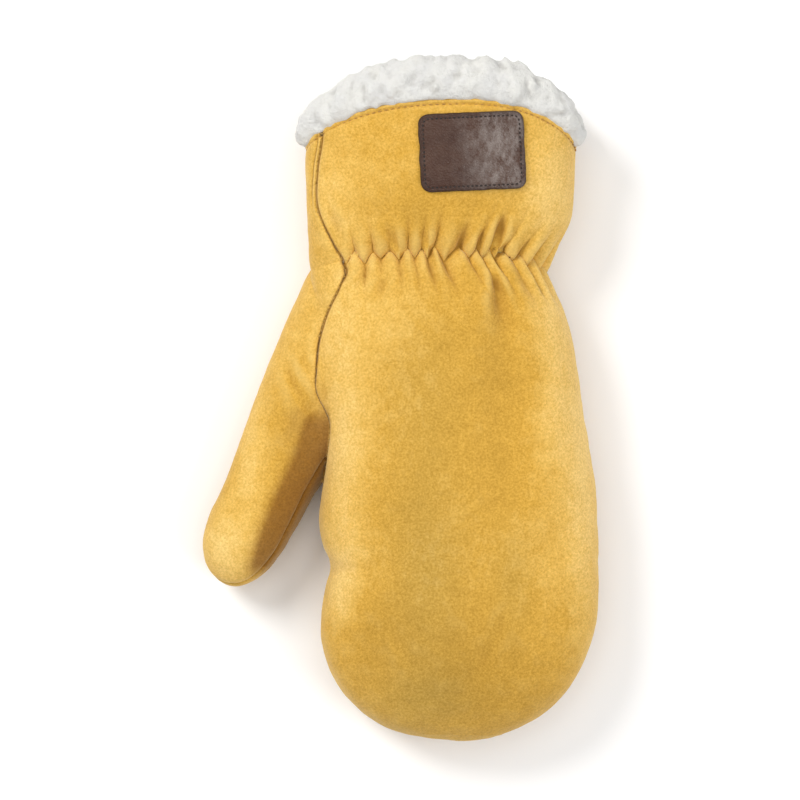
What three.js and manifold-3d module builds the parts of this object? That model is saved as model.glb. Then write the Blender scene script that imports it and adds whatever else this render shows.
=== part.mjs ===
import * as THREE from 'three';
import { mergeVertices } from 'three/addons/utils/BufferGeometryUtils.js';
import Module from 'manifold-3d';

const wasm = await Module();
wasm.setup();

// A left-hand winter work mitt of suede leather with a pile trim at the cuff, lying on its palm.
// The cuff points along +Y, the fingertips along -Y and the thumb out to -X. The floor is z = 0,
// and the origin is on it, under the middle of the palm.
// In the tables, "at" is a share of the hand's length from the gathered wrist to the fingertips,
// or of the cuff's length from the wrist to the hem, and "left" is the thumb's side.

// Leather, in millimetres
const WALL = 2.4;
const SEAM_GAP = 0.35;

// Hand, from the gathered wrist to the fingertips
const HAND_LENGTH = 200;
const HAND_WIDTH = 117;
const HAND_DEPTH = 56;
const SEAM_HEIGHT = 25;

// Gathered wrist
const WRIST_WIDTH = 99;
const WRIST_SHIFT = 14.5;
const WRIST_DEPTH = 44;
const WRIST_LIFT = 5;
const WRIST_BOW = 7;
const PLEAT_PITCH = 7.3;
const PLEAT_SWING = 2.7;
const PLEAT_RISE = 1.2;
const PLEAT_REACH = 13;
const GATHER_DEPTH = 1.8;

// Cuff, from the gathered wrist to the hem
const CUFF_LENGTH = 53;
const CUFF_WIDTH = 115;
const CUFF_SHIFT = 8;
const CUFF_DEPTH = 56;
const CUFF_LIFT = 4;
const HEM_BOW = 18.5;

// Thumb
const THUMB_LENGTH = 136;
const THUMB_WIDTH = 41;
const THUMB_DEPTH = 36;
const THUMB_ANGLE = 25.6;
const THUMB_ROLL = 20;

// Strip sewn along the seam on the palm side of the cuff
const WELT_WIDTH = 2.6;

// Pile trim: the part that shows past the hem, and the leg that lines the inside of the cuff
const TRIM_HEIGHT = 18.5;
const TRIM_SIDE_HEIGHT = 10;
const TRIM_PROUD = 3.6;
const TRIM_THICK = 13;
const TRIM_TUCK = 30;
const TRIM_LEG = 6;
const TRIM_GAP = 0.4;
const CLUMP_SIZE = 16;
const CLUMP_RISE = 1.2;

// Label sewn on the back of the cuff
const LABEL_WIDTH = 44;
const LABEL_HEIGHT = 32.5;
const LABEL_THICK = 1.6;
const LABEL_CORNER = 4.5;
const LABEL_FROM_HEM = 6;
const LABEL_TURN = 2.5;

// Squareness of the cross-sections, as the power of a superellipse, and how far the palm would hang
// below its seam if the floor didn't flatten it, as a share of the seam's height
const squareness = { body: 2.4, thumb: 2.5 };
const palmHang = { share: 1.12 };

// The gathers start and reach their full height at shares of the wrist's half width on the thumb's
// side. The crease fades over its sharpness, down to a share where the wrist is smooth. The folds
// grow from the crease, fade out by their own power, and their sideways swing fades sooner. The
// inside of the leather stays clear of the crease by a share of its depth.
const gatherShape = {
  from: 0.84,
  full: 0.72,
  sharp: 5,
  smooth: 0.3,
  grow: 9,
  fade: 1.1,
  fadePower: 1.3,
  swingFade: 1.4,
  clear: 0.7,
};

// How the hem bows with the height on its section, and how far in the hem's end face is cut square
const hemShape = { bowPower: 1.5, rim: 0.75 };

// The pile is lower at the sides by this power, and its clumps swell unevenly round the cuff
const pileShape = { sidePower: 0.8, clumpsFrom: 0.1, least: 0.5, beat: 0.37 };

// Places along the hand or the cuff, and across the cuff, as shares
const shares = { thumbPanelEnd: 0.335, weltStart: 0.06, labelAside: 0.11, origin: 0.45 };

// Folds and clumps that fit round the wrist and the cuff, whose girths are shares of their widths
const PLEATS = Math.max(8, Math.round((2.48 * WRIST_WIDTH) / PLEAT_PITCH));
const CLUMPS = Math.max(6, Math.round((2.5 * CUFF_WIDTH) / CLUMP_SIZE));

// Points round each part of the surface
const pointsRound = { pleats: 4 * PLEATS, hand: 40, inside: 28, cuff: 72, thumb: 24 };

// Reach of the blocks that cut the leather along its seams
const FAR = 2 * (HAND_LENGTH + CUFF_LENGTH + HAND_WIDTH);

// Places of the cross-sections: shares of the hand, of the folds' reach on either side of the wrist,
// of the cuff beyond that reach, and of the thumb
const handPlaces = [0.993, 0.972, 0.94, 0.9, 0.85, 0.78, 0.71, 0.665, 0.625, 0.585, 0.52, 0.43, 0.33,
  0.23, 0.16, 0.11];
const foldPlaces = [-1, -0.5, -0.15, 0, 0.15, 0.5, 1];
const cuffPlaces = [0.25, 0.6, 1];
const handInsidePlaces = [0.98, 0.94, 0.88, 0.8, 0.71, 0.625, 0.54, 0.4, 0.26, 0.15, 0.08, 0];
const cuffInsidePlaces = [0.15, 0.3, 0.43, 0.72, 1, 1.5];
const thumbPlaces = [-0.06, 0, 0.12, 0.26, 0.38, 0.5, 0.62, 0.74, 0.82, 0.88, 0.93, 0.965, 0.99];

// Places where the side seam and the hand's edge beside the thumb are followed. Past the end of the
// edge, all that is above the side seam belongs to the back.
const sideSeamPlaces = [-0.34, -0.24, -0.15, -0.09, -0.035, 0, 0.22, 0.44, 0.7, 1];
const handEdgePlaces = [-0.72, -0.66, -0.625, -0.58, -0.52, -0.44, -0.38];
const edgeEnd = { at: -0.74 };

// Each side of the hand as a share of its full half width, and its back and palm as shares of their
// full depth. "open" goes from the shape of the wrist, 0, to that of the hand, 1.
const handRows = [
  { at: 0, open: 0, left: 1, right: 0.9, back: 1, palm: 1 },
  { at: 0.035, open: 0.22, left: 1, right: 0.9, back: 1, palm: 1 },
  { at: 0.09, open: 0.56, left: 1.02, right: 0.88, back: 1, palm: 1 },
  { at: 0.15, open: 0.78, left: 1.05, right: 0.88, back: 1, palm: 1 },
  { at: 0.24, open: 0.92, left: 1.05, right: 0.89, back: 0.99, palm: 1 },
  { at: 0.34, open: 1, left: 0.98, right: 0.92, back: 1, palm: 1 },
  { at: 0.44, open: 1, left: 0.985, right: 0.975, back: 1, palm: 1 },
  { at: 0.52, open: 1, left: 1.015, right: 0.99, back: 0.98, palm: 1 },
  { at: 0.585, open: 1, left: 0.99, right: 1, back: 0.96, palm: 1 },
  { at: 0.625, open: 1, left: 0.935, right: 1, back: 0.95, palm: 1 },
  { at: 0.665, open: 1, left: 0.975, right: 1, back: 0.94, palm: 1 },
  { at: 0.75, open: 1, left: 1.005, right: 1, back: 0.93, palm: 1 },
  { at: 1, open: 1, left: 1.005, right: 1, back: 0.93, palm: 1 },
];

// Where each side starts to close towards the fingertips, and how squarely
const tipRound = {
  left: { from: 0.75, power: 2.2 },
  right: { from: 0.7, power: 2 },
  back: { from: 0.62, power: 2.1 },
  palm: { from: 0.7, power: 2.2 },
};

// The cuff opens from the wrist, 0, to the hem, 1
const cuffRows = [
  { at: 0, open: 0 },
  { at: 0.11, open: 0.26 },
  { at: 0.22, open: 0.48 },
  { at: 0.33, open: 0.7 },
  { at: 0.44, open: 0.83 },
  { at: 0.6, open: 0.9 },
  { at: 0.77, open: 0.95 },
  { at: 1, open: 1 },
];

// Half width and half depth of the thumb along its length
const thumbRows = [
  { at: -0.06, wide: 1, deep: 0.8 },
  { at: 0, wide: 1.17, deep: 1.05 },
  { at: 0.26, wide: 1.12, deep: 1.04 },
  { at: 0.47, wide: 1, deep: 1 },
  { at: 0.73, wide: 0.84, deep: 0.9 },
  { at: 1, wide: 0.84, deep: 0.86 },
];
const thumbTip = { from: 0.8, power: 2.1 };

// The thumb's root and tip: across as a share of the half width, down the hand as a share of its
// length, and the height of the thumb's axis as a share of the seam's height
const thumbRoot = { across: 0.72, down: 0.05, height: 0.8, tipHeight: 0.7 };

// Dents in the back, as shares of the half width, the hand's length and the hand's depth
const dentRows = [
  { across: 0.33, down: 0.1, wide: 0.09, long: 0.07, depth: 0.035 },
  { across: 0.31, down: 0.4, wide: 0.17, long: 0.24, depth: 0.03 },
  { across: -0.1, down: 0.3, wide: 0.3, long: 0.09, depth: 0.012 },
  { across: -0.45, down: 0.62, wide: 0.22, long: 0.08, depth: 0.015 },
  { across: 0.12, down: 0.8, wide: 0.12, long: 0.13, depth: 0.016 },
];

// Seam between the back and the thumb panel, as a share of the thumb side's half width
const backSeamRows = [
  { at: -0.34, across: 1.002 },
  { at: -0.27, across: 1.005 },
  { at: -0.2, across: 0.982 },
  { at: -0.15, across: 0.968 },
  { at: -0.092, across: 0.92 },
  { at: -0.035, across: 0.812 },
  { at: 0, across: 0.757 },
  { at: 0.21, across: 0.833 },
  { at: 0.5, across: 0.93 },
  { at: 0.8, across: 0.926 },
  { at: 1.05, across: 0.895 },
  { at: 2, across: 0.895 },
];

// Seam between the palm and the thumb panel, under the cuff
const palmSeamRows = [
  { at: -0.04, across: 1.15 },
  { at: -0.015, across: 0.91 },
  { at: 0.045, across: 0.81 },
  { at: 0.19, across: 0.74 },
  { at: 0.33, across: 0.67 },
  { at: 0.47, across: 0.58 },
  { at: 0.68, across: 0.49 },
  { at: 1.05, across: 0.455 },
  { at: 2, across: 0.455 },
];

// Section of the pile trim, walked round once: "past" goes from the hem towards the crest, or down
// the inside of the cuff where it is below 0, and "out" is measured from the leather's outer face
const trimRows = [
  { past: -1, out: 'legOuter' },
  { past: -0.5, out: 'legOuter' },
  { past: 0.02, out: 'legOuter' },
  { past: 0.06, out: 'proud', share: 0.55 },
  { past: 0.28, out: 'proud', share: 1 },
  { past: 0.62, out: 'proud', share: 0.95 },
  { past: 0.88, out: 'thick', share: 0.3 },
  { past: 1, out: 'thick', share: 0.6 },
  { past: 0.84, out: 'thick', share: 0.92 },
  { past: 0.4, out: 'thick', share: 1 },
  { past: 0, out: 'legInner' },
  { past: -0.5, out: 'legInner' },
  { past: -1, out: 'legInner' },
];

const wristHalf = {
  left: WRIST_WIDTH / 2 + WRIST_SHIFT,
  right: WRIST_WIDTH / 2 - WRIST_SHIFT,
};
const cuffHalf = {
  left: CUFF_WIDTH / 2 + CUFF_SHIFT,
  right: CUFF_WIDTH / 2 - CUFF_SHIFT,
};
const wristSeam = WRIST_LIFT + WRIST_DEPTH / 2;
const cuffSeam = CUFF_LIFT + CUFF_DEPTH / 2;
const mix = THREE.MathUtils.lerp;
const smoothstep = THREE.MathUtils.smoothstep;

// Value of one column of a table, on a smooth curve through its rows
function along(rows, at, column) {
  const last = rows.length - 1;
  const inside = THREE.MathUtils.clamp(at, rows[0].at, rows[last].at);
  const k = Math.min(rows.filter((row) => row.at <= inside).length, last) - 1;
  const slope = (i) => {
    const before = rows[Math.max(i - 1, 0)];
    const after = rows[Math.min(i + 1, last)];
    return (after[column] - before[column]) / (after.at - before.at);
  };
  const span = rows[k + 1].at - rows[k].at;
  const t = (inside - rows[k].at) / span;
  const rise = t * t * (3 - 2 * t);
  const bend = t * (1 - t) * (1 - t) * slope(k) - t * t * (1 - t) * slope(k + 1);
  return mix(rows[k][column], rows[k + 1][column], rise) + span * bend;
}

// Share of full size left at a place along a rounded tip
function tipShare(at, { from, power }) {
  const reached = Math.min(Math.max((at - from) / (1 - from), 0), 1);
  return (1 - reached ** power) ** (1 / power);
}

function signedPower(value, power) {
  return Math.sign(value) * Math.abs(value) ** power;
}

// Cross-section of the hand or the cuff at a distance from the wrist, positive towards the hem
function bodySection(v, inset) {
  if (v >= 0) {
    const open = along(cuffRows, v / CUFF_LENGTH, 'open');
    return {
      left: mix(wristHalf.left, cuffHalf.left, open) - inset,
      right: mix(wristHalf.right, cuffHalf.right, open) - inset,
      top: mix(WRIST_DEPTH, CUFF_DEPTH, open) / 2 - inset,
      bottom: mix(WRIST_DEPTH, CUFF_DEPTH, open) / 2 - inset,
      seam: mix(wristSeam, cuffSeam, open),
      backBow: mix(WRIST_BOW, HEM_BOW, open),
      palmBow: mix(0, HEM_BOW, open),
    };
  }
  const at = Math.min(-v / (HAND_LENGTH - inset), 1);
  const row = (column) => along(handRows, at, column);
  const half = HAND_WIDTH / 2;
  const backDepth = HAND_DEPTH - SEAM_HEIGHT;
  const palmDepth = SEAM_HEIGHT * palmHang.share;
  const size = (wrist, hand, side) => (mix(wrist, hand, row('open')) - inset) * tipShare(at, tipRound[side]);
  return {
    left: size(wristHalf.left, half * row('left'), 'left'),
    right: size(wristHalf.right, half * row('right'), 'right'),
    top: size(WRIST_DEPTH / 2, backDepth * row('back'), 'back'),
    bottom: size(WRIST_DEPTH / 2, palmDepth * row('palm'), 'palm'),
    seam: mix(wristSeam, SEAM_HEIGHT, row('open')),
    backBow: mix(WRIST_BOW, 0, row('open')),
    palmBow: 0,
  };
}

// Angles round a section at even steps of its girth, from the outer side over the back
function evenAngles(section, count) {
  const fine = 720;
  const girth = [0];
  const place = (k) => sectionPoint(section, 0, (2 * Math.PI * k) / fine);
  for (let k = 1; k <= fine; k += 1) {
    girth.push(girth[k - 1] + place(k).distanceTo(place(k - 1)));
  }
  const angles = [];
  for (let i = 0, k = 0; i < count; i += 1) {
    const wanted = (girth[fine] * i) / count;
    while (girth[k + 1] < wanted) k += 1;
    const part = (wanted - girth[k]) / (girth[k + 1] - girth[k]);
    angles.push((2 * Math.PI * (k + part)) / fine);
  }
  return angles;
}

function sectionPoint(section, v, angle) {
  const across = Math.cos(angle);
  const up = Math.sin(angle);
  const reach = across >= 0 ? section.right : section.left;
  const rise = up >= 0 ? section.top : section.bottom;
  const bow = up >= 0 ? section.backBow : section.palmBow;
  return new THREE.Vector3(
    reach * signedPower(across, 2 / squareness.body),
    v + bow * Math.abs(up) ** hemShape.bowPower,
    section.seam + rise * signedPower(up, 2 / squareness.body),
  );
}

// How far the dents press the back down at a point
function dentDepth(point) {
  const half = HAND_WIDTH / 2;
  return dentRows.reduce((sum, dent) => {
    const aside = (point.x / half - dent.across) / dent.wide;
    const away = (-point.y / HAND_LENGTH - dent.down) / dent.long;
    return sum + dent.depth * HAND_DEPTH * Math.exp(-aside * aside - away * away);
  }, 0);
}

// The gathers: a zigzag crease along the wrist, with short folds that fade out on both sides of it.
// There are none on the thumb panel.
function gather(point, v, share) {
  const { from, full, sharp, smooth, grow, fade, fadePower, swingFade } = gatherShape;
  const spread = smoothstep(point.x, -from * wristHalf.left, -full * wristHalf.left);
  const phase = share * PLEATS;
  const zigzag = 4 * Math.abs(phase - Math.floor(phase) - 0.5) - 1;
  const far = Math.abs(v) / PLEAT_REACH;
  const crease = -GATHER_DEPTH * Math.exp(-sharp * far) * mix(smooth, 1, spread);
  const fold = PLEAT_RISE * Math.cos(2 * Math.PI * phase) * Math.exp(-fade * far ** fadePower);
  const grown = 1 - Math.exp(-grow * far);
  return {
    slide: PLEAT_SWING * zigzag * spread * Math.exp(-((swingFade * far) ** 2)),
    lift: crease - fold * grown * spread * Math.sign(v),
  };
}

function gatheredPoint(section, v, angle, share) {
  const point = sectionPoint(section, v, angle);
  const { slide, lift } = gather(point, v, share);
  const reach = point.x >= 0 ? section.right : section.left;
  const up = point.z - section.seam;
  const rise = up >= 0 ? section.top : section.bottom;
  const outward = new THREE.Vector3(
    signedPower(point.x / reach, squareness.body - 1) / reach,
    0,
    signedPower(up / rise, squareness.body - 1) / rise,
  ).normalize();
  point.addScaledVector(outward, lift);
  point.y += slide;
  return point;
}

function settle(point, floor) {
  if (point.z > SEAM_HEIGHT) point.z -= dentDepth(point);
  point.z = Math.max(point.z, floor);
  return point;
}

// The leather's outer face at a distance from the wrist
function outerRing(v, count) {
  const section = bodySection(v, 0);
  return evenAngles(section, count).map((angle, i) => {
    const gathered = Math.abs(v) <= PLEAT_REACH;
    const point = gathered ? gatheredPoint(section, v, angle, i / count) : sectionPoint(section, v, angle);
    return settle(point, 0);
  });
}

// The leather's inner face, which stays clear of the creases at the wrist
function innerRing(v, count) {
  const inset = WALL + gatherShape.clear * GATHER_DEPTH * Math.exp(-((v / PLEAT_REACH) ** 2));
  const angles = evenAngles(bodySection(v, 0), count);
  return angles.map((angle) => settle(sectionPoint(bodySection(v, inset), v, angle), inset));
}

// Closed mesh through rings that may differ in their number of points, with both ends closed
function loft(rings, startPoint, endPoint) {
  const points = [startPoint, ...rings.flat(), endPoint];
  const faces = [];
  const starts = [];
  let next = 1;
  rings.forEach((ring) => {
    starts.push(next);
    next += ring.length;
  });
  rings.forEach((ring, k) => {
    const a = (i) => starts[k] + (i % ring.length);
    if (k === 0) ring.forEach((_, i) => faces.push(0, a(i + 1), a(i)));
    if (k === rings.length - 1) {
      ring.forEach((_, i) => faces.push(next, a(i), a(i + 1)));
      return;
    }
    const other = rings[k + 1];
    const b = (j) => starts[k + 1] + (j % other.length);
    for (let i = 0, j = 0; i < ring.length || j < other.length;) {
      if ((i + 1) * other.length <= (j + 1) * ring.length) {
        faces.push(a(i), a(i + 1), b(j));
        i += 1;
      } else {
        faces.push(a(i), b(j + 1), b(j));
        j += 1;
      }
    }
  });
  return facingOut(points, faces);
}

// Geometry of a closed mesh, turned the right way out
function facingOut(points, faces) {
  let volume = 0;
  for (let f = 0; f < faces.length; f += 3) {
    const [a, b, c] = [points[faces[f]], points[faces[f + 1]], points[faces[f + 2]]];
    volume += a.dot(b.clone().cross(c));
  }
  const geometry = new THREE.BufferGeometry().setFromPoints(points);
  geometry.setIndex(volume > 0 ? faces : faces.slice().reverse());
  return geometry;
}

function toSolid(geometry) {
  const plain = geometry.clone();
  plain.deleteAttribute('normal');
  plain.deleteAttribute('uv');
  const merged = mergeVertices(plain);
  return new wasm.Manifold(new wasm.Mesh({
    numProp: 3,
    vertProperties: new Float32Array(merged.attributes.position.array),
    triVerts: new Uint32Array(merged.index.array),
  }));
}

function toGeometry(solid) {
  const { vertProperties, triVerts } = solid.getMesh();
  const geometry = new THREE.BufferGeometry();
  geometry.setAttribute('position', new THREE.BufferAttribute(new Float32Array(vertProperties), 3));
  geometry.setIndex(new THREE.BufferAttribute(new Uint32Array(triVerts), 1));
  return geometry;
}

// Centre of a ring, used to close it
function centre(ring) {
  return ring.reduce((sum, point) => sum.add(point), new THREE.Vector3()).divideScalar(ring.length);
}

// Hand and cuff, solid. The hem's end face stays square to the wall.
function outerBody() {
  const hand = handPlaces.map((at) => outerRing(-at * HAND_LENGTH, pointsRound.hand));
  const wrist = foldPlaces.map((at) => outerRing(at * PLEAT_REACH, pointsRound.pleats));
  const cuff = cuffPlaces.map((at) => outerRing(mix(PLEAT_REACH, CUFF_LENGTH, at), pointsRound.cuff));
  const hem = cuff[cuff.length - 1];
  const middle = centre(hem);
  const rim = hem.map((point) => new THREE.Vector3(
    mix(middle.x, point.x, hemShape.rim),
    point.y,
    mix(middle.z, point.z, hemShape.rim),
  ));
  const tip = new THREE.Vector3(0, -HAND_LENGTH, SEAM_HEIGHT);
  return toSolid(loft([...hand, ...wrist, ...cuff, rim], tip, middle));
}

// The space inside the hand and cuff, which runs on past the hem
function innerBody() {
  const hand = handInsidePlaces.map((at) => innerRing(-at * HAND_LENGTH, pointsRound.inside));
  const cuff = cuffInsidePlaces.map((at) => innerRing(at * CUFF_LENGTH, pointsRound.cuff));
  const tip = new THREE.Vector3(0, -HAND_LENGTH + WALL, SEAM_HEIGHT);
  return toSolid(loft([...hand, ...cuff], tip, centre(cuff[cuff.length - 1])));
}

// The thumb's axis and the directions across it, seen from its root: "aside" points to the hand
const thumbTurn = THREE.MathUtils.degToRad(THUMB_ANGLE);
const thumbRoll = THREE.MathUtils.degToRad(THUMB_ROLL);
const thumbStart = new THREE.Vector3(
  (-thumbRoot.across * HAND_WIDTH) / 2,
  -thumbRoot.down * HAND_LENGTH,
  thumbRoot.height * SEAM_HEIGHT,
);
const thumbEnd = thumbStart.clone().add(new THREE.Vector3(
  -THUMB_LENGTH * Math.sin(thumbTurn),
  -THUMB_LENGTH * Math.cos(thumbTurn),
  (thumbRoot.tipHeight - thumbRoot.height) * SEAM_HEIGHT,
));
const thumbAside = new THREE.Vector3(Math.cos(thumbTurn), -Math.sin(thumbTurn), 0)
  .multiplyScalar(Math.cos(thumbRoll))
  .add(new THREE.Vector3(0, 0, Math.sin(thumbRoll)));
const thumbUp = new THREE.Vector3(Math.cos(thumbTurn), -Math.sin(thumbTurn), 0)
  .multiplyScalar(-Math.sin(thumbRoll))
  .add(new THREE.Vector3(0, 0, Math.cos(thumbRoll)));

function thumbRing(at, inset) {
  const share = tipShare(at, thumbTip);
  const wide = ((THUMB_WIDTH / 2) * along(thumbRows, at, 'wide') - inset) * share;
  const deep = ((THUMB_DEPTH / 2) * along(thumbRows, at, 'deep') - inset) * share;
  const middle = new THREE.Vector3()
    .lerpVectors(thumbStart, thumbEnd, (at * (THUMB_LENGTH - inset)) / THUMB_LENGTH);
  return Array.from({ length: pointsRound.thumb }, (_, i) => {
    const angle = (2 * Math.PI * i) / pointsRound.thumb;
    const point = middle.clone()
      .addScaledVector(thumbAside, wide * signedPower(Math.cos(angle), 2 / squareness.thumb))
      .addScaledVector(thumbUp, deep * signedPower(Math.sin(angle), 2 / squareness.thumb));
    point.z = Math.max(point.z, inset);
    return point;
  });
}

function thumbSolid(inset) {
  const rings = thumbPlaces.map((at) => thumbRing(at, inset));
  const tip = thumbStart.clone().lerp(thumbEnd, (THUMB_LENGTH - inset) / THUMB_LENGTH);
  return toSolid(loft(rings, centre(rings[0]), tip));
}

// Upright block over an outline seen from above, and a block across the mitt over an outline seen
// from the thumb's side
function planBlock(outline, low, high) {
  const shape = new THREE.Shape(outline.map(([x, y]) => new THREE.Vector2(x, y)));
  const geometry = new THREE.ExtrudeGeometry(shape, { depth: high - low, bevelEnabled: false });
  return toSolid(geometry.translate(0, 0, low));
}

function sideBlock(outline, left, right) {
  const shape = new THREE.Shape(outline.map(([y, z]) => new THREE.Vector2(y, z)));
  const geometry = new THREE.ExtrudeGeometry(shape, { depth: right - left, bevelEnabled: false });
  const turn = new THREE.Matrix4().makeBasis(
    new THREE.Vector3(0, 1, 0),
    new THREE.Vector3(0, 0, 1),
    new THREE.Vector3(1, 0, 0),
  );
  return toSolid(geometry.applyMatrix4(turn).translate(left, 0, 0));
}

// A seam's points seen from above, moved sideways by a distance
function seamLine(rows, aside, from) {
  const steps = 24;
  const to = rows[rows.length - 1].at;
  const place = (k) => {
    const at = mix(from, to, k / steps);
    const v = at * (at < 0 ? HAND_LENGTH : CUFF_LENGTH);
    return new THREE.Vector2(-along(rows, at, 'across') * bodySection(v, 0).left, v);
  };
  return Array.from({ length: steps + 1 }, (_, k) => {
    const tangent = place(Math.min(k + 1, steps)).sub(place(Math.max(k - 1, 0))).normalize();
    const point = place(k);
    return [point.x - aside * tangent.y, point.y + aside * tangent.x];
  });
}

// Everything above the side seam, which runs round the widest line of the mitt
function aboveSeam(lowered) {
  const places = sideSeamPlaces.map((at) => at * (at < 0 ? HAND_LENGTH : CUFF_LENGTH));
  const line = places.map((v) => [v, bodySection(v, 0).seam - lowered]);
  return sideBlock([
    [FAR, FAR], [-FAR, FAR], [-FAR, SEAM_HEIGHT - lowered], ...line, [FAR, cuffSeam - lowered],
  ], -FAR, FAR);
}

// The back: right of its seam with the thumb panel. Past the thumb's root the seam runs just
// outside the edge of the hand.
function backRegion(grown) {
  const seam = seamLine(backSeamRows, grown, backSeamRows[0].at);
  const edge = handEdgePlaces.map((at) => {
    const v = at * HAND_LENGTH;
    return [-bodySection(v, 0).left - 2 * SEAM_GAP - grown, v];
  });
  const right = planBlock([
    [FAR, -FAR], [FAR, FAR], [seam[seam.length - 1][0], FAR], ...seam.reverse(), ...edge.reverse(),
    [-HAND_WIDTH, edgeEnd.at * HAND_LENGTH], [-HAND_WIDTH, -FAR],
  ], -FAR, FAR);
  return right.intersect(aboveSeam(grown));
}

// The thumb panel: the thumb's back above the thumb's own middle plane, the stretch above the side
// seam next to the back, and the strip that wraps under the cuff
function thumbRegion(grown) {
  const end = -shares.thumbPanelEnd * HAND_LENGTH - grown;
  const beside = planBlock([[0, end], [0, FAR], [-FAR, FAR], [-FAR, end]], -FAR, FAR);
  const high = aboveSeam(grown).intersect(beside);
  const seam = seamLine(palmSeamRows, -grown, palmSeamRows[0].at);
  const low = planBlock([
    ...seam, [seam[seam.length - 1][0], FAR], [-FAR, FAR], [-FAR, seam[0][1]],
  ], -FAR, FAR);
  const plate = new THREE.BoxGeometry(4 * THUMB_WIDTH, 2 * THUMB_LENGTH, THUMB_WIDTH);
  plate.translate(0, THUMB_WIDTH / 4 - THUMB_LENGTH, THUMB_WIDTH / 2 - grown);
  const placed = new THREE.Matrix4().makeBasis(
    thumbAside,
    thumbUp.clone().cross(thumbAside),
    thumbUp,
  ).setPosition(thumbStart);
  return high.add(low).add(toSolid(plate.applyMatrix4(placed)));
}

// The welt: a narrow strip beside the palm seam, from the wrist to the hem
function weltRegion(grown) {
  const inner = seamLine(palmSeamRows, -SEAM_GAP + grown, shares.weltStart);
  const outer = seamLine(palmSeamRows, -SEAM_GAP - WELT_WIDTH - grown, shares.weltStart);
  return planBlock([...inner, ...outer.reverse()], -FAR, wristSeam - SEAM_GAP + grown);
}

// Pile trim: a thick roll on the hem with a leg that lines the cuff
function trimRing(row, index) {
  const outs = {
    legOuter: -WALL - TRIM_GAP,
    legInner: -WALL - TRIM_GAP - TRIM_LEG,
    proud: TRIM_PROUD,
    thick: TRIM_PROUD - TRIM_THICK,
  };
  const full = outs[row.out];
  const base = row.out === 'thick' ? mix(TRIM_PROUD, full, row.share) : full * (row.share ?? 1);
  const angles = evenAngles(bodySection(CUFF_LENGTH, 0), pointsRound.cuff);
  return angles.map((angle, i) => {
    const height = mix(TRIM_SIDE_HEIGHT, TRIM_HEIGHT, Math.abs(Math.sin(angle)) ** pileShape.sidePower);
    const past = row.past > 0 ? Math.max(row.past * height, SEAM_GAP) : row.past * TRIM_TUCK;
    const turn = (2 * Math.PI * i * CLUMPS) / pointsRound.cuff;
    const swell = mix(pileShape.least, 1, Math.cos(pileShape.beat * turn + index) ** 2);
    const clump = Math.sin(turn + Math.PI * index) * swell;
    const rise = row.past > pileShape.clumpsFrom ? CLUMP_RISE * clump : 0;
    const point = sectionPoint(bodySection(CUFF_LENGTH + past, -base - rise), CUFF_LENGTH + past, angle);
    point.z = Math.max(point.z, 0);
    return point;
  });
}

function trimGeometry() {
  const rings = trimRows.map(trimRing);
  const points = rings.flat();
  const faces = [];
  const corner = (k, i) => (k % rings.length) * pointsRound.cuff + (i % pointsRound.cuff);
  rings.forEach((ring, k) => ring.forEach((_, i) => {
    faces.push(corner(k, i), corner(k, i + 1), corner(k + 1, i + 1));
    faces.push(corner(k, i), corner(k + 1, i + 1), corner(k + 1, i));
  }));
  return facingOut(points, faces);
}

// Point of the cuff's back under a place seen from above
function backPoint(x, y) {
  let v = y - HEM_BOW;
  let up = 1;
  for (let turn = 0; turn < 12; turn += 1) {
    const section = bodySection(Math.max(v, 0), 0);
    const across = Math.min(Math.abs(x) / (x >= 0 ? section.right : section.left), 0.999);
    up = Math.sqrt(1 - across ** squareness.body);
    v = y - section.backBow * up ** hemShape.bowPower;
  }
  const section = bodySection(Math.max(v, 0), 0);
  return new THREE.Vector3(x, y, section.seam + section.top * up ** (2 / squareness.body));
}

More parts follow.
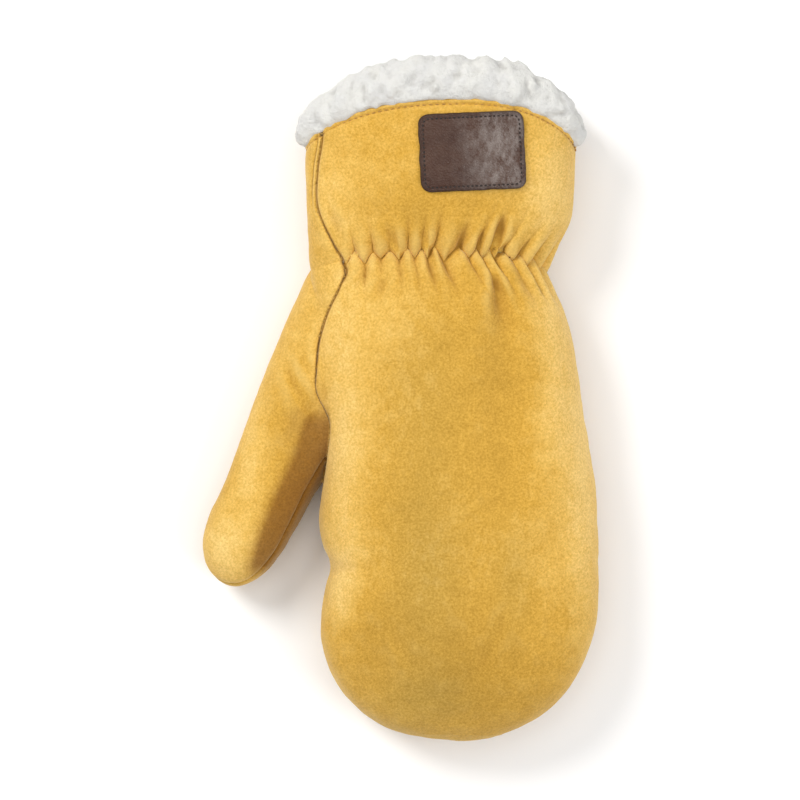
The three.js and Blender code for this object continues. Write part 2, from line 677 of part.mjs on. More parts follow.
// Label: a thin slab with round corners, bent to the back of the cuff
function labelGeometry() {
  const columns = 12;
  const rows = 9;
  const turn = THREE.MathUtils.degToRad(-LABEL_TURN);
  const middle = new THREE.Vector2(
    (cuffHalf.right - cuffHalf.left) / 2 + shares.labelAside * CUFF_WIDTH,
    CUFF_LENGTH + HEM_BOW - LABEL_FROM_HEM - LABEL_HEIGHT / 2,
  );
  const rounded = (a, b) => {
    const half = new THREE.Vector2(LABEL_WIDTH / 2, LABEL_HEIGHT / 2);
    const place = new THREE.Vector2(a * half.x, b * half.y);
    const core = new THREE.Vector2(
      THREE.MathUtils.clamp(place.x, LABEL_CORNER - half.x, half.x - LABEL_CORNER),
      THREE.MathUtils.clamp(place.y, LABEL_CORNER - half.y, half.y - LABEL_CORNER),
    );
    const past = place.clone().sub(core);
    const reach = Math.max(Math.abs(past.x), Math.abs(past.y));
    return past.length() > 0 ? core.add(past.setLength(reach)) : place;
  };
  const points = [];
  [1, 0].forEach((level) => {
    for (let r = 0; r <= rows; r += 1) {
      for (let c = 0; c <= columns; c += 1) {
        const place = rounded((2 * c) / columns - 1, (2 * r) / rows - 1)
          .rotateAround(new THREE.Vector2(), turn).add(middle);
        const on = backPoint(place.x, place.y);
        const aside = backPoint(place.x + 1, place.y).sub(backPoint(place.x - 1, place.y));
        const ahead = backPoint(place.x, place.y + 1).sub(backPoint(place.x, place.y - 1));
        const outward = aside.cross(ahead).normalize();
        points.push(on.addScaledVector(outward, SEAM_GAP + level * LABEL_THICK));
      }
    }
  });
  const faces = [];
  const sheet = (columns + 1) * (rows + 1);
  const corner = (r, c, level) => level * sheet + r * (columns + 1) + c;
  const quad = (a, b, c, d) => faces.push(a, b, c, a, c, d);
  for (let r = 0; r < rows; r += 1) {
    for (let c = 0; c < columns; c += 1) {
      quad(corner(r, c, 0), corner(r, c + 1, 0), corner(r + 1, c + 1, 0), corner(r + 1, c, 0));
      quad(corner(r, c, 1), corner(r + 1, c, 1), corner(r + 1, c + 1, 1), corner(r, c + 1, 1));
    }
  }
  for (let c = 0; c < columns; c += 1) {
    quad(corner(0, c, 0), corner(0, c, 1), corner(0, c + 1, 1), corner(0, c + 1, 0));
    quad(corner(rows, c, 0), corner(rows, c + 1, 0), corner(rows, c + 1, 1), corner(rows, c, 1));
  }
  for (let r = 0; r < rows; r += 1) {
    quad(corner(r, 0, 0), corner(r + 1, 0, 0), corner(r + 1, 0, 1), corner(r, 0, 1));
    quad(corner(r, columns, 0), corner(r, columns, 1), corner(r + 1, columns, 1), corner(r + 1, columns, 0));
  }
  return facingOut(points, faces);
}

// Leather shell, cut into its panels along the seams
const shell = outerBody().add(thumbSolid(0)).subtract(innerBody().add(thumbSolid(WALL)));
const besideBack = shell.subtract(backRegion(SEAM_GAP));
const besideThumb = besideBack.subtract(thumbRegion(SEAM_GAP));
const panels = {
  back_panel: shell.intersect(backRegion(0)),
  thumb_panel: besideBack.intersect(thumbRegion(0)),
  palm_panel: besideThumb.subtract(weltRegion(SEAM_GAP)),
  seam_welt: besideThumb.intersect(weltRegion(0)),
};

const suede = { color: 0xe0ad43, roughness: 0.95, metalness: 0 };
const materials = {
  back_panel: suede,
  thumb_panel: suede,
  palm_panel: suede,
  seam_welt: { color: 0xc8943a, roughness: 0.95, metalness: 0 },
  pile_trim: { color: 0xe4e4e0, roughness: 1, metalness: 0 },
  label_patch: { color: 0x4c352b, roughness: 0.6, metalness: 0 },
};

const geometries = {
  pile_trim: trimGeometry(),
  label_patch: labelGeometry(),
};
Object.entries(panels).forEach(([name, solid]) => {
  geometries[name] = toGeometry(solid);
});

const mitt = new THREE.Group();
mitt.position.y = shares.origin * HAND_LENGTH;
Object.entries(materials).forEach(([name, look]) => {
  const mesh = new THREE.Mesh(geometries[name], new THREE.MeshStandardMaterial(look));
  mesh.name = name;
  mitt.add(mesh);
});

export default mitt;
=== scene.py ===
import math

import bmesh
import bpy
import numpy as np
from mathutils import Matrix, Vector, kdtree, noise


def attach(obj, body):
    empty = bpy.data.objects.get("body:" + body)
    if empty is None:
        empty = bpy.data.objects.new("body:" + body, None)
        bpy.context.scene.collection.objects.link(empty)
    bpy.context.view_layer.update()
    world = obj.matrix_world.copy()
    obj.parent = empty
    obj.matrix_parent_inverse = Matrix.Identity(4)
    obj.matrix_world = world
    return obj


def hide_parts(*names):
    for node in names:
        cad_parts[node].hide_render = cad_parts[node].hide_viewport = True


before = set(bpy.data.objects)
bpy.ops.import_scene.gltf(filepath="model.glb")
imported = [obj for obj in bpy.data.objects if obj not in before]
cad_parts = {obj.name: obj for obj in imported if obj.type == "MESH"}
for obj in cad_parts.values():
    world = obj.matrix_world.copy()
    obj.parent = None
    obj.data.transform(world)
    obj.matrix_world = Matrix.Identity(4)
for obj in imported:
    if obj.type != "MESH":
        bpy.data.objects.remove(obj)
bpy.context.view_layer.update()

# A left-hand winter work mitt of suede leather with a pile trim, lying on its palm. Sizes are in
# millimetres with y = 0 at the gathered wrist, the fingertips along -y and the thumb out to -x,
# until a mesh is finished. The sizes down to the label's, and the tables of sections, dents and
# seams, are those of the CAD model.
ORIGIN_FROM_WRIST = 90.0

HAND_LENGTH, HAND_WIDTH, HAND_DEPTH, SEAM_HEIGHT = 200.0, 117.0, 56.0, 25.0
WRIST_WIDTH, WRIST_SHIFT, WRIST_DEPTH, WRIST_LIFT, WRIST_BOW = 99.0, 14.5, 44.0, 5.0, 7.0
CUFF_LENGTH, CUFF_WIDTH, CUFF_SHIFT = 53.0, 115.0, 8.0
CUFF_DEPTH, CUFF_LIFT, HEM_BOW = 56.0, 4.0, 18.5
THUMB_LENGTH, THUMB_WIDTH, THUMB_DEPTH = 136.0, 41.0, 36.0
THUMB_ANGLE, THUMB_ROLL = math.radians(25.6), math.radians(20.0)
WELT_WIDTH = 2.9
TRIM_HEIGHT, TRIM_SIDE_HEIGHT, TRIM_TUCK = 18.5, 10.0, 30.0
LABEL_WIDTH, LABEL_HEIGHT, LABEL_THICK, LABEL_CORNER = 44.0, 32.5, 1.6, 4.5
LABEL_FROM_HEM, LABEL_TURN, LABEL_GAP = 6.0, math.radians(2.5), 0.35

LEATHER = 2.0
SEAM_GAP, SEAM_DEPTH, SEAM_WIDTH = 0.07, 0.95, 0.85
SEAM_TUCK = [-49.5, 2.0, 33.0]

# How far the second line lies from the back seam, the sewn line from the hem and the label's
# groove from its edge, and where lines of edges run beside a seam
SECOND_LINE, HEM_LINE, LABEL_LINE = 1.9, 2.4, 2.0
SEAM_LEVELS, WELT_LEVELS = (-SECOND_LINE, -0.9, 0, 0.9, SECOND_LINE), (-0.9, 0, 0.7)

# Gathers at the wrist, powers of the rounded sections, the palm's hang, the thumb's root and tip
PLEATS, PLEAT_STEPS = 34, 10
PLEAT_SWING, PLEAT_REACH, PLEAT_DEPTH, PLEAT_LEAN = 2.7, 13.0, 2.2, 0.0009
BODY_POWER, THUMB_POWER = 2.4, 2.5
PALM_HANG = 1.12
THUMB_ROOT, THUMB_ROUND, NEAR_TIP = -0.06, (0.8, 2.1), 0.97

# Ends of the stretches of the skin from the fingertips to the hem, and the rows laid in each
SKIN_ROWS = [(-15, 94), (15, 53), (47, 27), (CUFF_LENGTH - 1, 12)]

WRIST_LEFT, WRIST_RIGHT = WRIST_WIDTH / 2 + WRIST_SHIFT, WRIST_WIDTH / 2 - WRIST_SHIFT
CUFF_LEFT, CUFF_RIGHT = CUFF_WIDTH / 2 + CUFF_SHIFT, CUFF_WIDTH / 2 - CUFF_SHIFT
WRIST_SEAM, CUFF_SEAM = WRIST_LIFT + WRIST_DEPTH / 2, CUFF_LIFT + CUFF_DEPTH / 2

HAND_ROWS = {
    "at": [0, 0.035, 0.09, 0.15, 0.24, 0.34, 0.44, 0.52, 0.585, 0.625, 0.665, 0.75, 1],
    "open": [0, 0.22, 0.56, 0.78, 0.92, 1, 1, 1, 1, 1, 1, 1, 1],
    "left": [1, 1, 1.02, 1.05, 1.05, 0.98, 0.985, 1.015, 0.99, 0.935, 0.975, 1.005, 1.005],
    "right": [0.9, 0.9, 0.88, 0.88, 0.89, 0.92, 0.975, 0.99, 1, 1, 1, 1, 1],
    "back": [1, 1, 1, 1, 0.99, 1, 1, 0.98, 0.96, 0.95, 0.94, 0.93, 0.93],
}
TIP_ROUND = {"left": (0.75, 2.2), "right": (0.7, 2.0), "back": (0.62, 2.1), "palm": (0.7, 2.2)}
CUFF_ROWS = {
    "at": [0, 0.11, 0.22, 0.33, 0.44, 0.6, 0.77, 1],
    "open": [0, 0.26, 0.48, 0.7, 0.83, 0.9, 0.95, 1],
}
THUMB_ROWS = {
    "at": [-0.06, 0, 0.26, 0.47, 0.73, 1],
    "wide": [1, 1.17, 1.12, 1, 0.84, 0.84],
    "deep": [0.8, 1.05, 1.04, 1, 0.9, 0.86],
}
DENTS = [
    (0.33, 0.1, 0.09, 0.07, 0.035),
    (0.31, 0.4, 0.17, 0.24, 0.03),
    (-0.1, 0.3, 0.3, 0.09, 0.012),
    (-0.45, 0.62, 0.22, 0.08, 0.015),
    (0.12, 0.8, 0.12, 0.13, 0.016),
]
BACK_SEAM = {
    "at": [-0.34, -0.27, -0.2, -0.15, -0.092, -0.035, 0, 0.21, 0.5, 0.8, 1.05, 2],
    "across": [1.002, 1.005, 0.982, 0.968, 0.92, 0.812, 0.757, 0.833, 0.93, 0.926, 0.895, 0.895],
}
PALM_SEAM = {
    "at": [-0.04, -0.015, 0.045, 0.19, 0.33, 0.47, 0.68, 1.05, 2],
    "across": [1.15, 0.91, 0.81, 0.74, 0.67, 0.58, 0.49, 0.455, 0.455],
}

# Creases as (x, y) of both ends, half width and depth, on the back and on the palm
BACK_CREASES = [
    (18, 21, 14.4, 3, 2, 2), (14.6, -2, 17.8, -22, 2.3, 2.3), (18, -20, 19.5, -95, 7, 0.8),
    (-25, 5, -31, 18, 1.8, 1.1), (-12, 5, -16, 17, 1.6, 0.8), (-1.5, 6, 2.6, 18, 1.6, 0.9),
    (8, 5, 9.5, 15, 1.4, 0.8), (24, 6, 30, 17, 1.8, 0.9), (-31, -3, -38, -14, 1.8, 0.6),
    (-41, -1, -46, -10, 1.6, 0.5), (25, -3, 36, -15, 2.2, 1), (19.5, -144, 4, -180, 3, 0.6),
    (-30, -150, -12, -184, 3, 0.4), (-56, 26, -48.8, 3, 2.4, 1.2), (-73, -42, -62, -64, 2.6, 0.9),
    (-67, -36, -59, -58, 2, 0.7),
]
PALM_CREASES = [
    (-48, 0, -49, 7, 1.7, 1.8), (-40, 1, -43, 17, 1.8, 1.4), (-31, 2, -34, 22, 2, 0.9),
    (-3, 0, -24, 28, 4, 1.2), (14, 1, 10, 15, 2, 0.8), (28, 1, 33, 16, 2.2, 0.9),
    (8, -3, 4, -18, 2, 0.8), (-52, 22, -40, 46, 4, 0.9), (-37, -62, -41, -104, 7, 1.5),
    (-43, -58, -33, -26, 5, 1.4), (-47, -63, -36, -70, 2.5, 1.2),
]


def along(rows, at, column):
    """Value of one column of a table, on a smooth curve through its rows."""
    places, values = np.array(rows["at"], float), np.array(rows[column], float)
    slopes = np.empty_like(values)
    slopes[1:-1] = (values[2:] - values[:-2]) / (places[2:] - places[:-2])
    slopes[0] = (values[1] - values[0]) / (places[1] - places[0])
    slopes[-1] = (values[-1] - values[-2]) / (places[-1] - places[-2])
    inside = np.clip(at, places[0], places[-1])
    k = np.clip(np.searchsorted(places, inside, side="right") - 1, 0, len(places) - 2)
    span = places[k + 1] - places[k]
    t = (inside - places[k]) / span
    bend = t * (1 - t) ** 2 * slopes[k] - t * t * (1 - t) * slopes[k + 1]
    return mix(values[k], values[k + 1], t * t * (3 - 2 * t)) + span * bend


def mix(a, b, t):
    return a + (b - a) * t


def step_up(value, low, high):
    t = np.clip((value - low) / (high - low), 0, 1)
    return t * t * (3 - 2 * t)


def soft_min(a, b, radius):
    h = np.clip(0.5 + 0.5 * (b - a) / radius, 0, 1)
    return mix(b, a, h) - radius * h * (1 - h)


def soft_max(a, b, radius):
    return -soft_min(-a, -b, radius)


def tip_share(at, start, power):
    reached = np.clip((at - start) / (1 - start), 0, 1)
    return np.maximum(1 - reached**power, 0) ** (1 / power)


def signed_power(value, power):
    return np.sign(value) * np.abs(value) ** power


def body_section(v, inset=0.0):
    """Cross-section of the hand or cuff at a distance from the wrist, positive towards the hem."""
    v = np.asarray(v, float)
    opening = along(CUFF_ROWS, np.clip(v / CUFF_LENGTH, 0, 1), "open")
    cuff = {
        "left": mix(WRIST_LEFT, CUFF_LEFT, opening) - inset,
        "right": mix(WRIST_RIGHT, CUFF_RIGHT, opening) - inset,
        "top": mix(WRIST_DEPTH, CUFF_DEPTH, opening) / 2 - inset,
        "bottom": mix(WRIST_DEPTH, CUFF_DEPTH, opening) / 2 - inset,
        "seam": mix(WRIST_SEAM, CUFF_SEAM, opening),
        "back_bow": mix(WRIST_BOW, HEM_BOW, opening),
        "palm_bow": mix(0.0, HEM_BOW, opening),
    }
    at = np.clip(-v / (HAND_LENGTH - inset), 0, 1)
    spread = along(HAND_ROWS, at, "open")
    half, above = HAND_WIDTH / 2, HAND_DEPTH - SEAM_HEIGHT

    def size(wrist, hand, side):
        return (mix(wrist, hand, spread) - inset) * tip_share(at, *TIP_ROUND[side])

    hand = {
        "left": size(WRIST_LEFT, half * along(HAND_ROWS, at, "left"), "left"),
        "right": size(WRIST_RIGHT, half * along(HAND_ROWS, at, "right"), "right"),
        "top": size(WRIST_DEPTH / 2, above * along(HAND_ROWS, at, "back"), "back"),
        "bottom": size(WRIST_DEPTH / 2, SEAM_HEIGHT * PALM_HANG, "palm"),
        "seam": mix(WRIST_SEAM, SEAM_HEIGHT, spread),
        "back_bow": mix(WRIST_BOW, 0.0, spread),
        "palm_bow": np.zeros_like(at),
    }
    return {key: np.where(v >= 0, cuff[key], hand[key]) for key in cuff}


def around(section, x, z):
    """How far up from the side seam points lie, and the section's reach and rise on their side."""
    up = z - section["seam"]
    reach = np.where(x >= 0, section["right"], section["left"])
    return up, reach, np.where(up >= 0, section["top"], section["bottom"])


def section_point(section, v, angle):
    """Points of a section at angles round it, from the outer side over the back."""
    across, up = np.cos(angle), np.sin(angle)
    reach = np.where(across >= 0, section["right"], section["left"])
    rise = np.where(up >= 0, section["top"], section["bottom"])
    bow = np.where(up >= 0, section["back_bow"], section["palm_bow"])
    x = reach * signed_power(across, 2 / BODY_POWER)
    z = section["seam"] + rise * signed_power(up, 2 / BODY_POWER)
    return np.stack(np.broadcast_arrays(x, v + bow * np.abs(up) ** 1.5, z), axis=-1)


def even_angles(section, count):
    """Angles round each section at even steps of its girth, from the outer side over the back."""
    fine = np.linspace(0, 2 * math.pi, 721)
    ring = section_point(section, 0.0, fine)
    steps = np.linalg.norm(np.diff(ring, axis=1), axis=2)
    girth = np.concatenate([np.zeros((len(ring), 1)), np.cumsum(steps, axis=1)], axis=1)
    shares = np.linspace(0, 1, count + 1)
    return np.array([np.interp(shares * line[-1], line, fine) for line in girth])


def gathers(x, v, share):
    """How far the gathers slide the leather along the mitt and lift it at the wrist."""
    spread = step_up(x, -0.84 * WRIST_LEFT, -0.72 * WRIST_LEFT)
    lean = PLEAT_LEAN * np.minimum(np.abs(v), PLEAT_REACH)
    share = share + lean * np.sin(4 * math.pi * share)
    turn = 2 * math.pi * share
    flatter = 1 - 0.45 * step_up(-np.sin(turn), -0.1, 0.4)
    phase = share * PLEATS + 0.17 * np.sin(7 * turn) + 0.13 * np.sin(11 * turn + 1)
    height = 1 + 0.24 * np.sin(5 * turn + 1) + 0.2 * np.sin(13 * turn + 2.2)
    zigzag = 4 * np.abs(phase - np.floor(phase) - 0.5) - 1
    far = np.abs(v) / np.where(v > 0, 0.8 * PLEAT_REACH, PLEAT_REACH)
    crease = -(1.7 * np.exp(-np.abs(v) / 0.9) + 1.1 * np.exp(-5 * far)) * mix(0.15, 1, spread)
    cuff_fold = 1 - np.abs(np.sin(math.pi * phase)) ** 0.75
    hand_fold = 1 - np.abs(np.cos(math.pi * phase)) ** 0.75
    fold = np.where(v > 0, cuff_fold, hand_fold)
    fold = fold * np.exp(-1.5 * far**1.15) * (1 - np.exp(-9 * far))
    slide = PLEAT_SWING * height * zigzag * spread * flatter**0.5 * np.exp(-((1.4 * far) ** 2))
    uneven = height + 0.3 * np.sin(9 * turn + 0.5) + 0.3 * np.sin(17 * turn + 1.3)
    depth = PLEAT_DEPTH * np.maximum(uneven, 0.2) * spread * flatter
    return slide, crease - depth * (fold - 0.25 * np.exp(-1.5 * far))


def settle(points, dents):
    """Presses the dents into the back and lays the underside on the floor."""
    x, y, z = points[..., 0], points[..., 1], points[..., 2]
    if dents:
        for across, down, wide, long, depth in DENTS:
            aside = (2 * x / HAND_WIDTH - across) / wide
            away = (-y / HAND_LENGTH - down) / long
            z = z - (z > SEAM_HEIGHT) * depth * HAND_DEPTH * np.exp(-aside * aside - away * away)
    points[..., 2] = np.maximum(0.5 * (z + np.sqrt(z * z + 1.0)) - 0.02, 0)
    return points


def shaped_grid(points):
    """Mesh grid laid through an array of points, rows by columns."""
    rows, columns = points.shape[0] - 1, points.shape[1] - 1
    bm = bmesh.new()
    bmesh.ops.create_grid(bm, x_segments=columns, y_segments=rows, size=1.0)
    for vert in bm.verts:
        i, j = round((vert.co.x + 1) / 2 * columns), round((vert.co.y + 1) / 2 * rows)
        vert.co = points[j, i]
    return bm


def coordinates(bm):
    return np.array([vert.co[:] for vert in bm.verts])


def move(bm, points):
    for vert, point in zip(bm.verts, points):
        vert.co = point


def move_above_floor(bm, points):
    points[:, 2] = np.maximum(points[:, 2], 0)
    move(bm, points)


def smooth(bm, verts, factor, axes="xyz"):
    """One round that draws vertices to the middle of their neighbours, along the named axes."""
    bmesh.ops.smooth_vert(
        bm, verts=verts, factor=factor,
        use_axis_x="x" in axes, use_axis_y="y" in axes, use_axis_z="z" in axes,
    )


def keep_values(bm, **columns):
    """Stores named values on the vertices, for the materials."""
    for name, column in columns.items():
        layer = bm.verts.layers.float.new(name)
        for vert, value in zip(bm.verts, column):
            vert[layer] = value


def normals(bm):
    bm.normal_update()
    return np.array([vert.normal[:] for vert in bm.verts])


def leather_body():
    """Hand and cuff as one closed skin, with the gathers at the wrist and the hem rolled in."""
    straight = -HAND_LENGTH * (0.7 + 0.3 * np.sin(np.linspace(math.pi / 2, 0, 58)))
    for end, rows in SKIN_ROWS:
        straight = np.concatenate([straight, np.linspace(straight[-1], end, rows)[1:]])
    roll = np.radians([18, 36, 54, 72, 90])
    v = np.concatenate([straight, CUFF_LENGTH - 1 + np.sin(roll), [CUFF_LENGTH, CUFF_LENGTH]])
    inset = np.concatenate([np.zeros_like(straight), 1 - np.cos(roll), [1.5, 2.0]])
    v, inset = v[:, None], inset[:, None]
    section = body_section(v)
    angles = even_angles(section, PLEAT_STEPS * PLEATS)
    share = np.linspace(0, 1, PLEAT_STEPS * PLEATS + 1)[None, :]
    points = section_point(body_section(v, inset), v, angles)
    slide, lift = gathers(points[..., 0], v, share)
    near = np.abs(v) <= 1.6 * PLEAT_REACH
    up, reach, rise = around(section, points[..., 0], points[..., 2])
    reach, rise = np.maximum(reach, 0.01), np.maximum(rise, 0.01)
    out_x = signed_power(points[..., 0] / reach, BODY_POWER - 1) / reach
    out_z = signed_power(up / rise, BODY_POWER - 1) / rise
    size = np.maximum(np.hypot(out_x, out_z), 1e-9)
    points[..., 0] += near * lift * out_x / size
    points[..., 2] += near * lift * out_z / size
    points[..., 1] += near * slide
    bm = shaped_grid(settle(points, dents=True))
    edges = [vert for vert in bm.verts if vert.is_boundary]
    bmesh.ops.remove_doubles(bm, verts=edges, dist=0.02)
    tips = [vert for vert in bm.verts if vert.co.y < -0.985 * HAND_LENGTH]
    bmesh.ops.remove_doubles(bm, verts=tips, dist=0.7)
    for _ in range(3):
        smooth(bm, [vert for vert in tips if vert.is_valid], 0.5, "xz")
    rim = [edge for edge in bm.edges if edge.is_boundary]
    cap = bmesh.ops.holes_fill(bm, edges=rim, sides=0)["faces"]
    middle = bmesh.ops.poke(bm, faces=cap)["verts"][0]
    bmesh.ops.recalc_face_normals(bm, faces=bm.faces)
    return bm, middle.co.copy()


thumb_start = np.array([-0.72 * HAND_WIDTH / 2, -0.05 * HAND_LENGTH, 0.8 * SEAM_HEIGHT])
thumb_end = thumb_start + [
    -THUMB_LENGTH * math.sin(THUMB_ANGLE),
    -THUMB_LENGTH * math.cos(THUMB_ANGLE),
    -0.1 * SEAM_HEIGHT,
]
level_aside = np.array([math.cos(THUMB_ANGLE), -math.sin(THUMB_ANGLE), 0.0])
thumb_aside = level_aside * math.cos(THUMB_ROLL) + [0, 0, math.sin(THUMB_ROLL)]
thumb_up = -level_aside * math.sin(THUMB_ROLL) + [0, 0, math.cos(THUMB_ROLL)]
thumb_rootward = np.cross(thumb_up, thumb_aside)


def thumb_size(at):
    """Half width and half depth of the thumb at a share of its length."""
    share = tip_share(at, *THUMB_ROUND)
    wide = THUMB_WIDTH / 2 * along(THUMB_ROWS, at, "wide") * share
    return wide, THUMB_DEPTH / 2 * along(THUMB_ROWS, at, "deep") * share


def leather_thumb():
    """The thumb as one closed skin, which starts inside the hand."""
    straight = np.linspace(THUMB_ROOT, 0.8, 84)
    tip = 0.8 + 0.2 * np.sin(np.linspace(0, math.pi / 2, 34))
    at = np.concatenate([straight, tip[1:]])[:, None]
    wide, deep = thumb_size(at)
    angle = np.linspace(0, 2 * math.pi, 111)[None, :]
    middle = thumb_start + at[..., None] * (thumb_end - thumb_start)
    points = (
        middle
        + (wide * signed_power(np.cos(angle), 2 / THUMB_POWER))[..., None] * thumb_aside
        + (deep * signed_power(np.sin(angle), 2 / THUMB_POWER))[..., None] * thumb_up
    )
    bm = shaped_grid(settle(points, dents=False))
    bmesh.ops.remove_doubles(bm, verts=bm.verts, dist=0.02)
    tips = [vert for vert in bm.verts if (Vector(thumb_end) - vert.co).length < 6]
    bmesh.ops.remove_doubles(bm, verts=tips, dist=0.5)
    bmesh.ops.holes_fill(bm, edges=[edge for edge in bm.edges if edge.is_boundary], sides=0)
    bmesh.ops.recalc_face_normals(bm, faces=bm.faces)
    return bm


def finish_mesh(bm, name):
    for face in bm.faces:
        face.smooth = True
    mesh = bpy.data.meshes.new(name)
    bm.to_mesh(mesh)
    bm.free()
    piece = bpy.data.objects.new(name, mesh)
    bpy.context.scene.collection.objects.link(piece)
    return piece


def to_metres(bm):
    """Carries a mesh from millimetres about the wrist to metres in the shared frame."""
    for vert in bm.verts:
        vert.co = (vert.co + Vector((0, ORIGIN_FROM_WRIST, 0))) * 0.001


def placed(bm, name, finish, node=None):
    """A finished piece from a mesh in millimetres, riding on the mitt."""
    to_metres(bm)
    piece = finish_mesh(bm, name)
    piece.data.materials.append(finish)
    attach(piece, "root")
    if node:
        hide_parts(node)
    return piece


def applied(piece):
    """The piece's mesh with its modifiers applied, as a bmesh. The piece itself goes."""
    shaped = piece.evaluated_get(bpy.context.evaluated_depsgraph_get())
    bm = bmesh.new()
    bm.from_mesh(shaped.data)
    old = piece.data
    bpy.data.objects.remove(piece)
    bpy.data.meshes.remove(old)
    return bm


def joined_leather():
    """Body and thumb as one skin, open at the hem, with a soft fold where the thumb starts."""
    body_bm, middle = leather_body()
    body, thumb = finish_mesh(body_bm, "body_form"), finish_mesh(leather_thumb(), "thumb_form")
    union = body.modifiers.new("thumb", "BOOLEAN")
    union.operation = "UNION"
    union.solver = "MANIFOLD"
    union.object = thumb
    bm = applied(body)
    bpy.data.objects.remove(thumb)
    assert min(vert.co.x for vert in bm.verts) < thumb_end[0], "the thumb did not join the hand"
    centre = min(bm.verts, key=lambda vert: (vert.co - middle).length)
    bmesh.ops.delete(bm, geom=[centre], context="VERTS")
    bm.normal_update()
    folds = {
        vert
        for edge in bm.edges
        if len(edge.link_faces) == 2 and edge.calc_face_angle_signed() < -0.25
        for vert in edge.verts
        if vert.co.y < -13 and vert.co.x < -38
    }
    tree = kdtree.KDTree(len(folds))
    for k, vert in enumerate(folds):
        tree.insert(vert.co, k)
    tree.balance()
    near = {vert: tree.find(vert.co)[2] for vert in bm.verts if vert.co.y < 2 and vert.co.x < -25}
    for radius, rounds in ((7, 4), (5, 4), (3.5, 4), (2.5, 3)):
        for _ in range(rounds):
            smooth(bm, [vert for vert, gap in near.items() if gap < radius], 0.6)
    return bm


def seam_table(rows, beyond):
    """The x of a seam seen from above, for every millimetre of y."""
    y = np.arange(-210.0, 90.0)
    at = np.where(y < 0, y / HAND_LENGTH, y / CUFF_LENGTH)
    x = -along(rows, at, "across") * body_section(y)["left"]
    slope = np.gradient(x) * (at > rows["at"][0])
    return y, np.where(at < rows["at"][0], beyond, x), np.sqrt(1 + slope * slope)


back_seam = seam_table(BACK_SEAM, -HAND_WIDTH / 2)
palm_seam = seam_table(PALM_SEAM, -HAND_WIDTH)


def beside(points, seam):
    """Distance to the right of a seam, seen from above."""
    y, x, stretch = seam
    return (points[:, 0] - np.interp(points[:, 1], y, x)) / np.interp(points[:, 1], y, stretch)


def side_height(points):
    y = points[:, 1]
    return np.where(y < -0.34 * HAND_LENGTH, SEAM_HEIGHT, body_section(np.clip(y, -68, 53))["seam"])


def off_section(a, b, reach, rise, power):
    """Distance outside a superellipse, roughly."""
    share = (np.abs(a / reach) ** power + np.abs(b / rise) ** power) ** (1 / power)
    return np.hypot(a, b) * (1 - 1 / np.maximum(share, 1e-6))


def nearer_hand(points):
    """Above 0 on the hand's own skin and below 0 on the thumb's, growing from where they meet."""
    x, y, z = points.T
    section = body_section(np.clip(y, -NEAR_TIP * HAND_LENGTH, CUFF_LENGTH))
    up, reach, rise = around(section, x, z)
    from_hand = off_section(x, up, reach, rise, BODY_POWER)
    from_root = points - thumb_start
    down = -(from_root @ thumb_rootward)
    wide, deep = thumb_size(np.clip(down / THUMB_LENGTH, THUMB_ROOT, NEAR_TIP))
    aside, up = from_root @ thumb_aside, from_root @ thumb_up
    from_thumb = off_section(aside, up, wide, deep, THUMB_POWER)
    past_tip = np.maximum(down - NEAR_TIP * THUMB_LENGTH, 0)
    past_root = np.maximum(THUMB_ROOT * THUMB_LENGTH - down, 0)
    return from_thumb + (past_tip + past_root) - from_hand


def back_field(points):
    """Above 0 on the back panel, in millimetres from its seam."""
    y = points[:, 1]
    inner = mix(beside(points, back_seam), nearer_hand(points), step_up(-y, 48, 72))
    return soft_min(inner, points[:, 2] - side_height(points), 2.5)


def thumb_field(points):
    """Above 0 on the thumb panel."""
    x, y, z = points.T
    high = soft_min(z - side_height(points), y + 0.335 * HAND_LENGTH, 4)
    high = soft_min(high, -x, 4)
    low = soft_min(-beside(points, palm_seam), y + 0.04 * HAND_LENGTH, 4)
    from_root = points - thumb_start
    aside, forward = from_root @ thumb_aside, from_root @ thumb_rootward
    raised = 4.5 * step_up(aside, 2, 12) * (1 - step_up(-forward, 60, THUMB_LENGTH))
    plate = soft_min(from_root @ thumb_up - raised, THUMB_WIDTH / 4 - forward, 3)
    plate = soft_min(plate, 2 * THUMB_WIDTH - np.abs(aside), 3)
    return soft_max(soft_max(high, low, 3), plate, 3)


def welt_field(points):
    """Above 0 on the strip beside the palm seam of the cuff."""
    x, y, z = points.T
    past = beside(points, palm_seam)
    strip = np.minimum(past, WELT_WIDTH - past)
    return np.minimum(strip, np.minimum(y - 3.2, WRIST_SEAM - z))


def score(bm, field, level, within=None):
    """Runs a line of edges through the mesh where a field has this level."""
    points = coordinates(bm)
    value = field(points) - level
    allowed = np.full(len(points), True) if within is None else within(points)
    bm.verts.index_update()
    edges = list(bm.edges)
    ends = np.array([(edge.verts[0].index, edge.verts[1].index) for edge in edges])
    first, second = value[ends[:, 0]], value[ends[:, 1]]
    crossing = (first * second < 0) & allowed[ends[:, 0]] & allowed[ends[:, 1]]
    found = [(edges[k], first[k] / (first[k] - second[k])) for k in np.nonzero(crossing)[0]]
    on_line = {}
    for edge, share in found:
        near, far = edge.verts if share < 0.5 else reversed(edge.verts)
        if min(share, 1 - share) < 0.14 and near not in on_line:
            near.co = near.co.lerp(far.co, min(share, 1 - share))
            on_line[near] = True
    for edge, share in found:
        start, end = edge.verts
        if start not in on_line and end not in on_line:
            on_line[bmesh.utils.edge_split(edge, start, share)[1]] = True
    bmesh.ops.connect_verts(bm, verts=list(on_line), check_degenerate=True)


